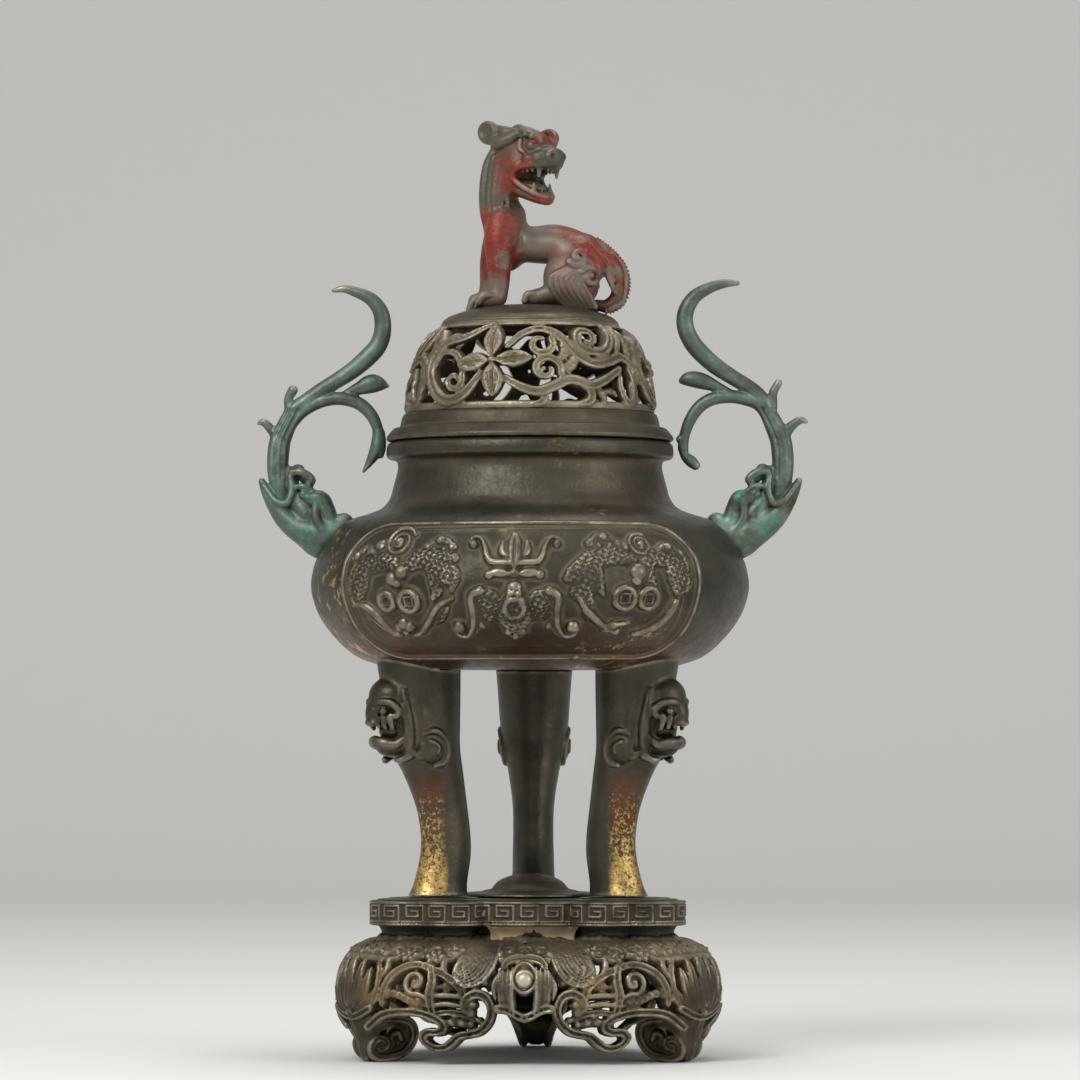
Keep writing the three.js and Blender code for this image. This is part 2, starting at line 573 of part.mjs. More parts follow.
function galleryRepeat() {
  const bars = []
  const bar = (points, width, extra, taper) => {
    bars.push(stroke(gallerySurface, points, width, GALLERY_THICKNESS + extra, taper))
  }
  // Four-petalled flower on its stem
  bars.push(flower(gallerySurface, 0, 10.5, 5.8, 2.6, GALLERY_THICKNESS + 1))
  bar([[0, 0.6], [-0.6, 5], [0, 10]], 1.9, 0.5)
  bar([[0, 11], [0.8, 16], [0, 20.4]], 1.9, 0.6)
  // Scroll that hugs the flower on one side
  bar([[-5, 20.4], [-8.6, 17.4], [-10.4, 12.5], [-9.4, 6.6], [-5, 3.4], [-1, 2.6]], 2.2, 0.2)
  bar([[-9.6, 15], [-14.4, 14.8], ...curl(-15.4, 10.4, 4, 1.6, 80, 300, 7)], 1.9, 0.4)
  // Long vine wave between one flower and the next
  bar([[4.6, 13.6], [9, 16.8], [14.4, 15], [17.6, 9.6], [21.4, 4.6], [26.6, 4.2], [30.4, 8.6], [32.6, 14],
    [36, 17.6], [41, 17.6], [44.4, 14.6]], 2.2, 0.3, 0.8)
  bar([[7.4, 0.6], [6.2, 4.4], ...curl(10.8, 8.2, 4.2, 1.5, 200, -310, 8)], 1.9, 0.5)
  bar([[17, 20.4], [18, 16.6], ...curl(22.8, 13.2, 4.4, 1.6, 160, -320, 8)], 1.9, 0.7)
  bar([[38.4, 0.6], [35.4, 3.4], ...curl(38.8, 9.2, 4.3, 1.6, 190, -320, 8)], 1.9, 0.6)
  // Tendrils down to the lower band and up to the upper one
  bar([[15.6, 12.4], [14, 6], [15.4, 0.6]], 1.7, 0.15)
  bar([[28.4, 6.4], [30.6, 14], [29.2, 20.4]], 1.7, 0.35)
  return union(bars)
}

function lidGallery() {
  const repeats = [0, 120, 240].map((turn) => aboutAxis(galleryRepeat(), 252 + turn))
  return union([galleryBand(0.2, 1.7, 0.3), galleryBand(galleryRise - 1.8, galleryRise, 0.2), ...repeats])
}

// Cap: shallow dome on the gallery, with a flat where the lion sits

const capBase = galleryBase + 0.2 + GALLERY_ROWS.at(-1)[1] + SEAT_GAP + 0.4
const CAP_ROWS = [[1, 0], [0.995, 0.5], [0.9, 1.6], [0.76, 2.8], [0.58, 3.8], [0.2, 4.5]]
const capTop = capBase + CAP_ROWS.at(-1)[1]
const rivetSeat = capBase + 0.4

function lidCap() {
  const outside = CAP_ROWS.map(([share, height]) => [CAP_RADIUS * share, capBase + height])
  const inside = CAP_ROWS.slice(2).reverse().map(([share, height]) => [CAP_RADIUS * share - 0.8,
    capBase + height - CAP_WALL])
  const skirt = [CAP_RADIUS - 4, capBase]
  const hollow = inside.reverse().filter(([, height]) => height > capBase + 0.2)
  const shell = lathe([[0, capTop], ...outside.reverse(), skirt, ...hollow, [0, capTop - CAP_WALL]], ROUND_SIDES)
  const seat = rod(vec(LION_RIVET_REACH, 0, rivetSeat), vec(LION_RIVET_REACH, 0, capBase + 2), 4, 12)
  return shell.add(seat).subtract(lionRivet(PIN_GAP))
}

function capEnvelope() {
  const outside = CAP_ROWS.map(([share, height]) => [CAP_RADIUS * share + SEAT_GAP, capBase + height + SEAT_GAP])
  return lathe([[0, capBase - 8], [CAP_RADIUS + SEAT_GAP, capBase - 8], ...outside, [0, capTop + SEAT_GAP]], ROUND_SIDES)
}

// Lion finial: body to the left, head turned back to the right with its mouth open
function lion() {
  const z = (height) => capTop + height
  const trunk = limb([[-5.6, z(14), 5, 5.4], [-2, z(13.6), 5.6, 5.8], [5, z(12.6), 5.2, 5.6],
    [11.4, z(9.6), 6.6, 6.6], [15.4, z(7.2), 5.6, 5.6]], 6, 8)
  const neck = limb([[-5.6, z(14), 4.8, 5], [-7, z(20), 5, 5.4], [-6, z(26), 5.2, 5.8], [-3.4, z(31), 5, 5.6]], 4, 8)
  const skull = blob(-1.6, 0, z(33), 6.4, 6.2, 5.8)
  const muzzle = limb([[-1, z(31.6), 4, 4.6], [4, z(31.8), 3, 3.8], [7.6, z(31.6), 2.4, 3.2],
    [9.4, z(31), 1.5, 2.2]], 5, 8)
  const jaw = limb([[-3, z(25.6), 2.6, 4], [1.4, z(23.6), 1.7, 3.2], [5.4, z(22.4), 1.1, 2.2]], 4, 8)
  const ears = [-1, 1].map((side) => limb([[-4.6, z(35), 3, 2], [-7.4, z(38.4), 2.8, 1.4],
    [-8.8, z(40.4), 1.2, 0.8]], 3, 8, side * 4))
  const horn = limb([[3.2, z(35.6), 1.8, 3], [6, z(37.2), 1.3, 2], [8.4, z(37.4), 0.5, 0.8]], 3, 6)
  const limbs = []
  for (const side of [-1, 1]) {
    limbs.push(limb([[-6.4, z(15), 3.8, 3], [-6.3, z(10), 3.1, 2.8], [-6.2, z(5), 2.7, 2.6],
      [-7.2, z(1.6), 2.6, 2.6]], 4, 6, side * 3.4))
    limbs.push(blob(-9.2, side * 3.4, z(0.9), 4.2, 2.9, 2.1, 0, 6))
    limbs.push(blob(11.4, side * 3.6, z(6.6), 6.8, 4, 6.2, 20))
    limbs.push(limb([[8, z(5), 3, 2.6], [3.6, z(2.4), 2.4, 2.5], [0.4, z(1.2), 1.7, 2.4]], 3, 6, side * 3.6))
  }
  const tail = limb([[15, z(7), 3, 3.4], [19.6, z(7.6), 2, 2.8], [21.2, z(4.4), 1.7, 2.4],
    [19.6, z(1.2), 1.7, 2.4], [16, z(-0.4), 1.5, 2.2], [13.6, z(1.4), 1, 1.8]], 8, 6)
  const seat = blob(LION_RIVET_REACH, 0, z(2), 5, 4.4, 4, 0, 6)
  const whole = union([trunk, neck, skull, muzzle, jaw, ...ears, horn, ...limbs, seat, tail])
  return whole.subtract(capEnvelope()).subtract(lionRivet(PIN_GAP))
}

function lionRivet(extra) {
  const head = rivetSeat - SEAT_GAP
  const at = (height) => vec(LION_RIVET_REACH, 0, height)
  const pin = rod(at(head - 0.5), at(capTop + 5 + extra), RIVET_RADIUS + extra)
  return extra ? pin : pin.add(rod(at(head - 1.4), at(head), 3.2))
}

place('stand_plate', standPlate().subtract(bossPegHole()), 'worn')
place('stand_boss', standBoss(), 'worn')
place('stand_waist', standWaist(), 'worn')
for (const [side, azimuth] of Object.entries(LEG_AZIMUTHS)) {
  place(`apron_${side}`, aboutAxis(apronPanel(), azimuth), 'worn', ORNAMENT_TOLERANCE)
  place(`stand_foot_${side}`, aboutAxis(standFoot(), azimuth), 'worn')
  place(`leg_${side}`, aboutAxis(leg(), azimuth), 'dark')
  place(`leg_rivet_${side}`, aboutAxis(legRivet(0), azimuth), 'brassy')
}
for (const [side, azimuth] of Object.entries(BRACKET_AZIMUTHS)) {
  place(`stand_bracket_${side}`, aboutAxis(standBracket(), azimuth), 'worn')
}
place('bowl', bowlShell(), 'dark')
place('handle_right', handle(), 'green')
place('handle_left', aboutAxis(handle(), 180), 'green')
place('handle_rivet_right', handleRivet(0), 'brassy')
place('handle_rivet_left', aboutAxis(handleRivet(0), 180), 'brassy')
place('lid_ring', lidRing(), 'worn')
place('lid_gallery', lidGallery(), 'worn', ORNAMENT_TOLERANCE)
place('lid_cap', lidCap(), 'worn')
place('lion', lion(), 'red', ORNAMENT_TOLERANCE)
place('lion_rivet', lionRivet(0), 'brassy')

function bossPegHole() {
  return rod(vec(0, 0, plateBase - 2), vec(0, 0, plateTop + 2), 1.8 + PIN_GAP)
}

export default burner
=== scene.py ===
"""Bronze tripod incense burner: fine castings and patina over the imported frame.

Pieces are drawn in millimetres and scaled when their mesh is made; the scene is in metres.
Ornament is drawn with strokes on a Relief board, solid figures are built up in Clay."""
import json
import math

import bpy
import bmesh
import numpy as np
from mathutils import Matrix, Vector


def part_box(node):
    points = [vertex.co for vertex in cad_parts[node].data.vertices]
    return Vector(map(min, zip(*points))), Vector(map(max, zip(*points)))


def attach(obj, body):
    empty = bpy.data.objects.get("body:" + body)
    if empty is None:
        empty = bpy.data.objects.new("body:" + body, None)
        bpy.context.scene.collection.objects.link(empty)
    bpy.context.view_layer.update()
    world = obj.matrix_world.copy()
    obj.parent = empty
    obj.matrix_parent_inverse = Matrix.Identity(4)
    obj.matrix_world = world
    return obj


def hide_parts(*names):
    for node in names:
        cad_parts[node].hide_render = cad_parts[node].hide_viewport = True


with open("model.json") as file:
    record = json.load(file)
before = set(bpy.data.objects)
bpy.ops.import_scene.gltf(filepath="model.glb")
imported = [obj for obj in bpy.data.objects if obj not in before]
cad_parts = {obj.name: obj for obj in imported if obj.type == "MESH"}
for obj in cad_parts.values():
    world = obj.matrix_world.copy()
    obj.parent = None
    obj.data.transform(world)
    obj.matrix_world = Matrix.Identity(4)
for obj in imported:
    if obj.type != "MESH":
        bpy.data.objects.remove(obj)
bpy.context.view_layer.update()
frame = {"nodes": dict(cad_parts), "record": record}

import openvdb
from mathutils import Matrix, Vector

bl_info = {
    "name": "Bronze Incense Burner",
    "version": (1, 0, 0),
    "blender": (4, 5, 0),
    "location": "View3D > Sidebar > Burner",
    "description": "Casts, carves and patinates a tripod incense burner on its openwork stand",
    "category": "Object",
}

MM = 0.001
# Size of one pixel of the photo at the burner's axis, in metres
PIXEL = 0.000225
# Column of the axis, row of the ground and middle of the photo, in pixels
AXIS_COLUMN = 530
GROUND_ROW = 1056.5
IMAGE_CENTRE = 540

# Degrees about the upright axis, anticlockwise from the right
LEG_AZIMUTHS = {"left": 210, "right": 330, "rear": 90}
BRACKET_AZIMUTHS = {"front": 270, "right": 30, "left": 150}


def number(name, description, default, **more):
    return bpy.props.FloatProperty(name=name, description=description, default=default, **more)


def colour(name, description, default):
    return bpy.props.FloatVectorProperty(name=name, description=description, default=default, size=3,
                                         subtype="COLOR")


class StageSizes(bpy.types.PropertyGroup):
    """Where the camera stands and how strongly the lamps shine"""
    distance: number("Camera Distance", "From the burner's axis", 1.33, unit="LENGTH")
    azimuth: number("Camera Azimuth", "Turn about the axis", math.radians(2), subtype="ANGLE")
    height: number("Camera Height", "Above the floor", 0.0786, unit="LENGTH")
    lens: number("Lens", "Focal length on a 36 mm sensor, in mm", 196.7)
    key_power: number("Key Lamp", "Power of the large soft lamp in watts", 7.0)
    fill_power: number("Fill Lamp", "Power of the side lamp in watts", 3.0)
    world_strength: number("World Strength", "Brightness of the room", 0.55)


class CastingSizes(bpy.types.PropertyGroup):
    """How finely the castings are worked"""
    openwork_grain: number("Openwork Grain", "Smallest detail of the pierced apron, in mm", 0.3)
    gallery_grain: number("Gallery Grain", "Smallest detail of the lid's pierced gallery, in mm", 0.365)
    figure_grain: number("Figure Grain", "Smallest detail of the lion and the masks, in mm", 0.27)
    panel_grain: number("Panel Grain", "Smallest detail of the bowl's panels, in mm", 0.3)
    panel_relief: number("Panel Relief", "How far the bats stand from the bowl, as a share of the usual",
                         1.25, subtype="FACTOR")


class BronzeColours(bpy.types.PropertyGroup):
    """Colours of the castings and of what time has left on them"""
    body: colour("Bowl Bronze", "Dark brown patina of the bowl and legs", (0.046, 0.041, 0.030))
    stand: colour("Stand Bronze", "Olive-brown bronze of lid and stand", (0.062, 0.052, 0.034))
    verdigris: colour("Verdigris", "Green bloom on the handles", (0.125, 0.195, 0.165))
    lacquer: colour("Red Lacquer", "Worn red on the finial", (0.215, 0.020, 0.006))
    dust: colour("Dust", "Ochre dust in the recesses", (0.155, 0.108, 0.056))
    # The edge colour is bare rubbed metal and also a painted highlight, for the light the high edges catch
    worn: colour("Worn Edge and Highlight", "Bare metal where hands have rubbed", (0.40, 0.36, 0.265))
    gilt: colour("Gilt", "Flakes of gilding", (0.62, 0.43, 0.14))
    rust: colour("Rust", "Red-brown stain under the belly", (0.16, 0.048, 0.018))


# Materials. Heights and distances in them are in metres, as in the scene

BUMP_STRENGTH, BUMP_DEPTH = 0.35, 0.0004


class Shader:
    """Short calls for building one material's node tree"""

    def __init__(self, name):
        self.material = bpy.data.materials.new(name)
        self.material.use_nodes = True
        self.nodes = self.material.node_tree.nodes
        self.links = self.material.node_tree.links
        self.principled = self.nodes["Principled BSDF"]
        self.coordinate = self.nodes.new("ShaderNodeTexCoord").outputs["Object"]
        separate = self.nodes.new("ShaderNodeSeparateXYZ")
        self.link(self.coordinate, separate.inputs["Vector"])
        self.x, self.y, self.z = (separate.outputs[axis] for axis in "XYZ")
        attribute = self.nodes.new("ShaderNodeAttribute")
        attribute.attribute_name = "hollow"
        self.hollow = attribute.outputs["Fac"]

    def link(self, value, socket):
        if isinstance(value, (int, float)):
            socket.default_value = value
        elif isinstance(value, (tuple, list)):
            socket.default_value = (*value, 1)
        else:
            self.links.new(value, socket)

    def node(self, kind, output, **values):
        made = self.nodes.new(kind)
        for name, value in values.items():
            self.link(value, made.inputs[name])
        return made.outputs[output]

    def noise(self, scale, detail=4, rough=0.55, distortion=0.0):
        return self.node("ShaderNodeTexNoise", "Fac", Vector=self.coordinate, Scale=scale, Detail=detail,
                         Roughness=rough, Distortion=distortion)

    def pits(self, scale):
        return self.node("ShaderNodeTexVoronoi", "Distance", Vector=self.coordinate, Scale=scale)

    def ramp(self, value, low, high):
        """From 0 at low to 1 at high"""
        node = self.nodes.new("ShaderNodeMapRange")
        node.inputs["From Min"].default_value = low
        node.inputs["From Max"].default_value = high
        node.clamp = True
        self.link(value, node.inputs["Value"])
        return node.outputs["Result"]

    def math(self, operation, a, b):
        node = self.nodes.new("ShaderNodeMath")
        node.operation = operation
        self.link(a, node.inputs[0])
        self.link(b, node.inputs[1])
        return node.outputs["Value"]

    def product(self, *values):
        whole = values[0]
        for value in values[1:]:
            whole = self.math("MULTIPLY", whole, value)
        return whole

    def mix(self, share, first, second):
        node = self.nodes.new("ShaderNodeMix")
        node.data_type = "RGBA"
        self.link(share, node.inputs["Factor"])
        self.link(first, node.inputs["A"])
        self.link(second, node.inputs["B"])
        return node.outputs["Result"]

    def finish(self, colour, roughness, bump, metallic):
        self.link(colour, self.principled.inputs["Base Color"])
        self.link(roughness, self.principled.inputs["Roughness"])
        self.link(metallic, self.principled.inputs["Metallic"])
        node = self.nodes.new("ShaderNodeBump")
        node.inputs["Strength"].default_value = BUMP_STRENGTH
        node.inputs["Distance"].default_value = BUMP_DEPTH
        self.link(bump, node.inputs["Height"])
        self.link(node.outputs["Normal"], self.principled.inputs["Normal"])
        return self.material


def tone(name):
    """One of the colours in the settings"""
    return tuple(getattr(bpy.context.scene.burner_colours, name))


def shade(colour, share):
    """A colour made darker or paler"""
    return tuple(c * share for c in colour)


def aged_bronze(name, base, dust, worn, dust_share=0.5, wear=0.5, rough=(0.36, 0.62), metallic=0.75,
                stain=None, rubbed=(-0.2, -0.75)):
    """Cast bronze: mottled patina, dust in the hollows with painted shade in the deepest of them, bare metal
    with a painted highlight on the high edges, fine pits.
    A stain is a function of the shader and the colour so far that returns the stained colour;
    rubbed says from where to where an edge counts as bare metal with a painted highlight"""
    s = Shader(name)
    mottle = s.ramp(s.noise(55, 6, 0.62), 0.35, 0.68)
    colour = s.mix(mottle, shade(base, 0.55), shade(base, 1.5))
    cloud = s.ramp(s.noise(140, 5, 0.6, 0.4), 0.42, 0.7)
    colour = s.mix(s.product(cloud, 0.35), colour, shade(base, 1.9))
    if stain:
        colour = stain(s, colour)
    film = s.product(s.ramp(s.noise(38, 5, 0.6), 0.48, 0.72), dust_share * 0.4)
    colour = s.mix(film, colour, dust)
    deep = s.ramp(s.hollow, 0.06, 0.55)
    grime = s.product(deep, s.ramp(s.noise(170, 5), 0.22, 0.55), dust_share)
    colour = s.mix(grime, colour, dust)
    # Painted shade: the deepest hollows are darkened towards a near-black dust colour
    colour = s.mix(s.product(s.ramp(s.hollow, 0.5, 1.0), 0.55), colour, shade(dust, 0.28))
    # Bare metal and painted highlight: the high edges are lightened towards the edge colour
    edge = s.product(s.ramp(s.hollow, *rubbed), s.ramp(s.noise(260, 4), 0.28, 0.6))
    colour = s.mix(s.product(edge, wear), colour, worn)
    grain = s.ramp(s.noise(420, 5, 0.65), 0.25, 0.8)
    low, high = rough
    roughness = s.math("ADD", s.product(grain, high - low), low)
    roughness = s.math("ADD", roughness, s.product(grime, 0.25))
    roughness = s.math("SUBTRACT", roughness, s.product(edge, 0.12))
    metal = s.math("SUBTRACT", metallic, s.product(grime, metallic * 0.8))
    pits = s.ramp(s.pits(900), 0.0, 0.5)
    bump = s.math("ADD", s.product(s.noise(700, 6, 0.7), 0.7), s.product(pits, 0.25))
    return s.finish(colour, roughness, bump, metal)


# Colours of single stains, and of the painted shade in the lion's mouth
BROWN_EARTH = (0.105, 0.082, 0.045)
YELLOW_EARTH = (0.26, 0.165, 0.07)
PALE_POWDER = (0.225, 0.185, 0.12)
FRESH_GREEN = (0.055, 0.22, 0.15)
LION_FLANK = (0.142, 0.112, 0.084)
LION_NECK = (0.085, 0.080, 0.052)
LION_DULL = (0.07, 0.058, 0.042)
LION_EYES = (0.062, 0.052, 0.042)
LION_MOUTH_SHADE = (0.02, 0.012, 0.01)


def gilt_on_legs(s, colour):
    """Gilding that survives in flakes down the front of the two front legs, denser towards the feet"""
    across = s.math("ADD", s.math("ABSOLUTE", s.x, 0.0), s.product(s.noise(90, 4), 0.003))
    strip = s.product(s.ramp(across, 0.0192, 0.0208), s.ramp(across, 0.0278, 0.0258),
                      s.ramp(s.y, -0.010, -0.014))
    stain = s.product(strip, s.ramp(s.z, 0.066, 0.058), s.ramp(s.noise(120, 5), 0.3, 0.55))
    colour = s.mix(s.product(stain, 0.55), colour, tone("rust"))
    density = s.math("ADD", s.noise(1050, 6, 0.8), s.product(s.ramp(s.z, 0.062, 0.040), 0.16))
    flakes = s.product(s.ramp(density, 0.585, 0.635), s.ramp(s.z, 0.063, 0.056))
    gilding = s.mix(s.ramp(s.noise(1500, 3), 0.3, 0.7), shade(tone("gilt"), 0.45), shade(tone("gilt"), 1.1))
    return s.mix(s.product(strip, flakes, 0.95), colour, gilding)


def rust_under_bowl(s, colour):
    """Red-brown stain under the belly, traces of gilding on shoulder and neck"""
    under = s.product(s.ramp(s.z, 0.100, 0.089), s.ramp(s.noise(60, 5, 0.6), 0.35, 0.62))
    colour = s.mix(s.product(under, 0.45), colour, tone("rust"))
    neck = s.product(s.ramp(s.z, 0.112, 0.122), s.ramp(s.noise(44, 6, 0.62), 0.56, 0.7))
    colour = s.mix(s.product(neck, 0.3), colour, shade(tone("rust"), 0.7))
    flakes = s.product(s.ramp(s.noise(300, 6, 0.75), 0.54, 0.62), s.ramp(s.noise(36, 4, 0.5), 0.56, 0.66))
    return s.mix(s.product(flakes, 0.8), colour, tone("gilt"))


def green_bloom(s, colour):
    """A grey-green film on the handles, paler in the recesses and in spots"""
    earth = s.product(s.ramp(s.noise(62, 4), 0.52, 0.66), s.ramp(s.z, 0.150, 0.140), 0.75)
    colour = s.mix(earth, colour, BROWN_EARTH)
    film = s.ramp(s.noise(70, 5, 0.62), 0.34, 0.6)
    colour = s.mix(s.product(film, 0.75), colour, shade(tone("verdigris"), 0.8))
    bloom = s.product(s.ramp(s.noise(110, 6, 0.7), 0.47, 0.6), s.ramp(s.hollow, -0.5, 0.2))
    colour = s.mix(s.product(bloom, 0.8), colour, shade(tone("verdigris"), 1.7))
    fresh = s.product(s.ramp(s.noise(210, 5, 0.7), 0.53, 0.62), s.ramp(s.z, 0.134, 0.126), 0.75)
    return s.mix(fresh, colour, FRESH_GREEN)


def brown_on_red(s, colour):
    """The lacquer is left on cheek, crown, foreleg, back and tail; elsewhere it is rubbed to grey-brown"""
    wander = s.math("SUBTRACT", s.product(s.noise(170, 4, 0.6), 0.007), 0.0035)
    x = s.math("ADD", s.x, wander)
    z = s.math("SUBTRACT", s.z, wander)

    def patch(left, right, low, high, soft=0.0016):
        return s.product(s.ramp(x, left - soft, left + soft), s.ramp(x, right + soft, right - soft),
                         s.ramp(z, low - soft, low + soft), s.ramp(z, high + soft, high - soft))

    cheek = patch(-0.0075, -0.0002, 0.1935, 0.2035)
    crown = patch(0.0, 0.009, 0.2045, 0.209)
    foreleg = patch(-0.0125, -0.0022, 0.1745, 0.1905)
    ridge = s.math("ADD", z, s.product(x, 0.85))
    back = s.product(s.ramp(ridge, 0.1892, 0.1912), s.ramp(x, 0.0045, 0.007), s.ramp(z, 0.1905, 0.1885))
    tail = s.product(patch(0.0140, 0.0195, 0.1695, 0.182), 0.75)
    haunch = s.product(patch(0.0045, 0.0125, 0.1765, 0.183), s.ramp(s.hollow, -0.2, 0.3), 0.85)
    lip = patch(-0.001, 0.006, 0.1905, 0.1935, 0.0008)
    kept = s.product(s.ramp(s.noise(95, 5), 0.56, 0.68), 0.35)
    for place in (cheek, crown, foreleg, back, tail, haunch, lip):
        kept = s.math("MAXIMUM", kept, place)
    kept = s.product(kept, s.ramp(s.noise(230, 6, 0.72), 0.38, 0.5))
    dulled = s.ramp(s.noise(120, 5, 0.6), 0.35, 0.65)
    colour = s.mix(s.product(dulled, 0.7), colour, shade(tone("lacquer"), 0.32))
    grey = s.mix(s.ramp(z, 0.184, 0.192), LION_FLANK, LION_NECK)
    grey = s.mix(s.ramp(s.noise(75, 5), 0.45, 0.7), grey, LION_DULL)
    grey = s.mix(patch(0.0005, 0.012, 0.1975, 0.2035), grey, LION_EYES)
    colour = s.mix(kept, grey, colour)
    # Painted shade: the recess of the open mouth is darkened to near black
    mouth = s.product(patch(-0.0035, 0.0075, 0.1925, 0.2), s.ramp(s.hollow, 0.0, 0.35), 0.85)
    return s.mix(mouth, colour, LION_MOUTH_SHADE)


def ochre_on_stand(s, colour):
    """Earth that has stained the openwork between its rail and its shoulder"""
    patch = s.product(s.ramp(s.noise(52, 4, 0.55), 0.48, 0.60), s.ramp(s.z, 0.010, 0.014),
                      s.ramp(s.z, 0.025, 0.021))
    colour = s.mix(s.product(patch, s.ramp(s.noise(240, 4), 0.3, 0.5), 0.6), colour, YELLOW_EARTH)
    powder = s.product(s.ramp(s.z, 0.0208, 0.0248), s.ramp(s.noise(85, 5), 0.26, 0.55), 0.85)
    return s.mix(powder, colour, PALE_POWDER)


# Base, dust and edge colour, bare metal with a painted highlight, of the finishes that don't take theirs from
# the settings
PANEL_DUST, PANEL_WORN_AND_GLINT = (0.125, 0.098, 0.052), (0.30, 0.26, 0.19)
GREEN_DUST, GREEN_WORN_AND_GLINT = (0.10, 0.085, 0.06), (0.36, 0.37, 0.30)
RED_DUST, RED_WORN_AND_GLINT = (0.09, 0.065, 0.045), (0.36, 0.30, 0.23)
FILLER, FILLER_WORN_AND_GLINT = (0.30, 0.225, 0.135), (0.5, 0.42, 0.3)
PEARL, PEARL_WORN_AND_GLINT = (0.42, 0.38, 0.27), (0.7, 0.68, 0.6)
SHADOW, SHADOW_DUST, SHADOW_WORN_AND_GLINT = (0.026, 0.021, 0.016), (0.04, 0.033, 0.025), (0.36, 0.29, 0.19)
BRASS = (0.24, 0.17, 0.07)

FINISHES = {}


def wear(obj, finish):
    """Gives an object one of the finishes, by its name"""
    obj.data.materials.clear()
    obj.data.materials.append(FINISHES[finish])


def make_finishes():
    """One finish for each material slot of the record, and some for single pieces"""
    dust, worn, stand, body, lacquer = (tone(name) for name in ("dust", "worn", "stand", "body", "lacquer"))
    FINISHES.update(
        # The two olive finishes take a darker dust, so that their hollows read dark: dust and painted shade
        # together
        worn_bronze=aged_bronze("Olive bronze", stand, shade(dust, 0.5), shade(worn, 0.72), 0.75, 0.7),
        openwork=aged_bronze("Olive openwork bronze", stand, shade(dust, 0.4), shade(worn, 0.8), 0.9, 0.85,
                             (0.36, 0.6), stain=ochre_on_stand, rubbed=(-0.32, -0.75)),
        dark_bronze=aged_bronze("Brown bronze", body, dust, worn, 0.35, 0.5, (0.3, 0.55),
                                stain=rust_under_bowl),
        panel=aged_bronze("Brown panel bronze", body, PANEL_DUST, PANEL_WORN_AND_GLINT, 0.8, 0.85, (0.32, 0.6),
                          stain=rust_under_bowl, rubbed=(-0.2, -0.65)),
        leg=aged_bronze("Brown gilded bronze", body, dust, worn, 0.5, 0.55, (0.3, 0.55), stain=gilt_on_legs,
                        rubbed=(-0.35, -0.85)),
        verdigris=aged_bronze("Verdigris", shade(stand, 0.85), GREEN_DUST, GREEN_WORN_AND_GLINT, 0.5, 0.7, (0.34, 0.58),
                              0.6, green_bloom, (-0.45, -0.9)),
        red_patina=aged_bronze("Red lacquer", lacquer, RED_DUST, RED_WORN_AND_GLINT, 0.7, 0.5, (0.34, 0.56), 0.2,
                               brown_on_red, (-0.4, -0.9)),
        filler=aged_bronze("Ochre filler", FILLER, dust, FILLER_WORN_AND_GLINT, 0.4, 0.3, (0.6, 0.8), 0.1),
        pearl=aged_bronze("Pale pearl", PEARL, dust, PEARL_WORN_AND_GLINT, 0.5, 0.6, (0.3, 0.5), 0.4),
        shadowed=aged_bronze("Shadowed bronze", SHADOW, SHADOW_DUST, SHADOW_WORN_AND_GLINT, 0.5, 0.8),
        rivet_brass=aged_bronze("Rivet brass", BRASS, dust, worn, 0.4, 0.5))


class BURNER_OT_finishes(bpy.types.Operator):
    """Mixes the patinas and gives each plain casting its own"""
    bl_idname = "burner.finishes"
    bl_label = "Patinate the Castings"

    def execute(self, context):
        make_finishes()
        for part in frame["record"]["subparts"]:
            wear(frame["nodes"][part["node"]], part["material_slot"])
        return {"FINISHED"}


# Modelling tools. Fields give the distance inside the metal in millimetres, negative outside

# A field's value in the air, and one below any other to begin a union with
AIR, BELOW_ALL = -3.0, -9.0
# Room around a form in which the clay is worked, and the spacing of its stations
CLAY_MARGIN, STATION_STEP = 1.2, 0.5
# How softly slabs and grafted blocks join, and how far a slab's edges are rounded
SLAB_SOFT, GRAFT_SOFT, SLAB_EDGE = 0.8, 1.0, 1.2
# Half width of a rib's groove; how closely the hatches of veins follow each other, and their slant
RIB_HALF, VEIN_PITCH, VEIN_SLANT = 0.28, 1.2, 3.2
# Over what distance a hollow is measured, and how strongly it counts
HOLLOW_REACH, HOLLOW_GAIN = 1.1, 2.2
# How far from the middle of a pierced wall the metal is worked out, and the field's bounds there
WALL_REACH, WALL_AIR, WALL_METAL = 4, -1.5, 3


def smooth_path(points, spacing=0.25):
    """Even points along a smooth curve through the given ones; extra columns are carried along"""
    p = np.array(points, float)
    if len(p) == 2:
        steps = max(2, int(np.linalg.norm(p[1, :2] - p[0, :2]) / spacing))
        t = np.linspace(0, 1, steps + 1)[:, None]
        return p[0] * (1 - t) + p[1] * t
    ends = np.vstack([2 * p[0] - p[1], p, 2 * p[-1] - p[-2]])
    pieces = []
    for a, b, c, d in zip(ends, ends[1:], ends[2:], ends[3:]):
        count = max(2, int(np.linalg.norm(c - b) / spacing))
        t = np.linspace(0, 1, count, endpoint=False)[:, None]
        pieces.append(0.5 * (2 * b + (c - a) * t + (2 * a - 5 * b + 4 * c - d) * t ** 2
                             + (3 * b - a - 3 * c + d) * t ** 3))
    return np.vstack([*pieces, p[-1:]])


def curl(u, v, outer, inner, start, sweep, count=14):
    """A spiral from its outer end inwards, angles in degrees"""
    t = np.linspace(0, 1, count)
    radius = outer + (inner - outer) * t
    angle = np.radians(start + sweep * t)
    return [tuple(p) for p in np.stack([u + radius * np.cos(angle), v + radius * np.sin(angle)], 1)]


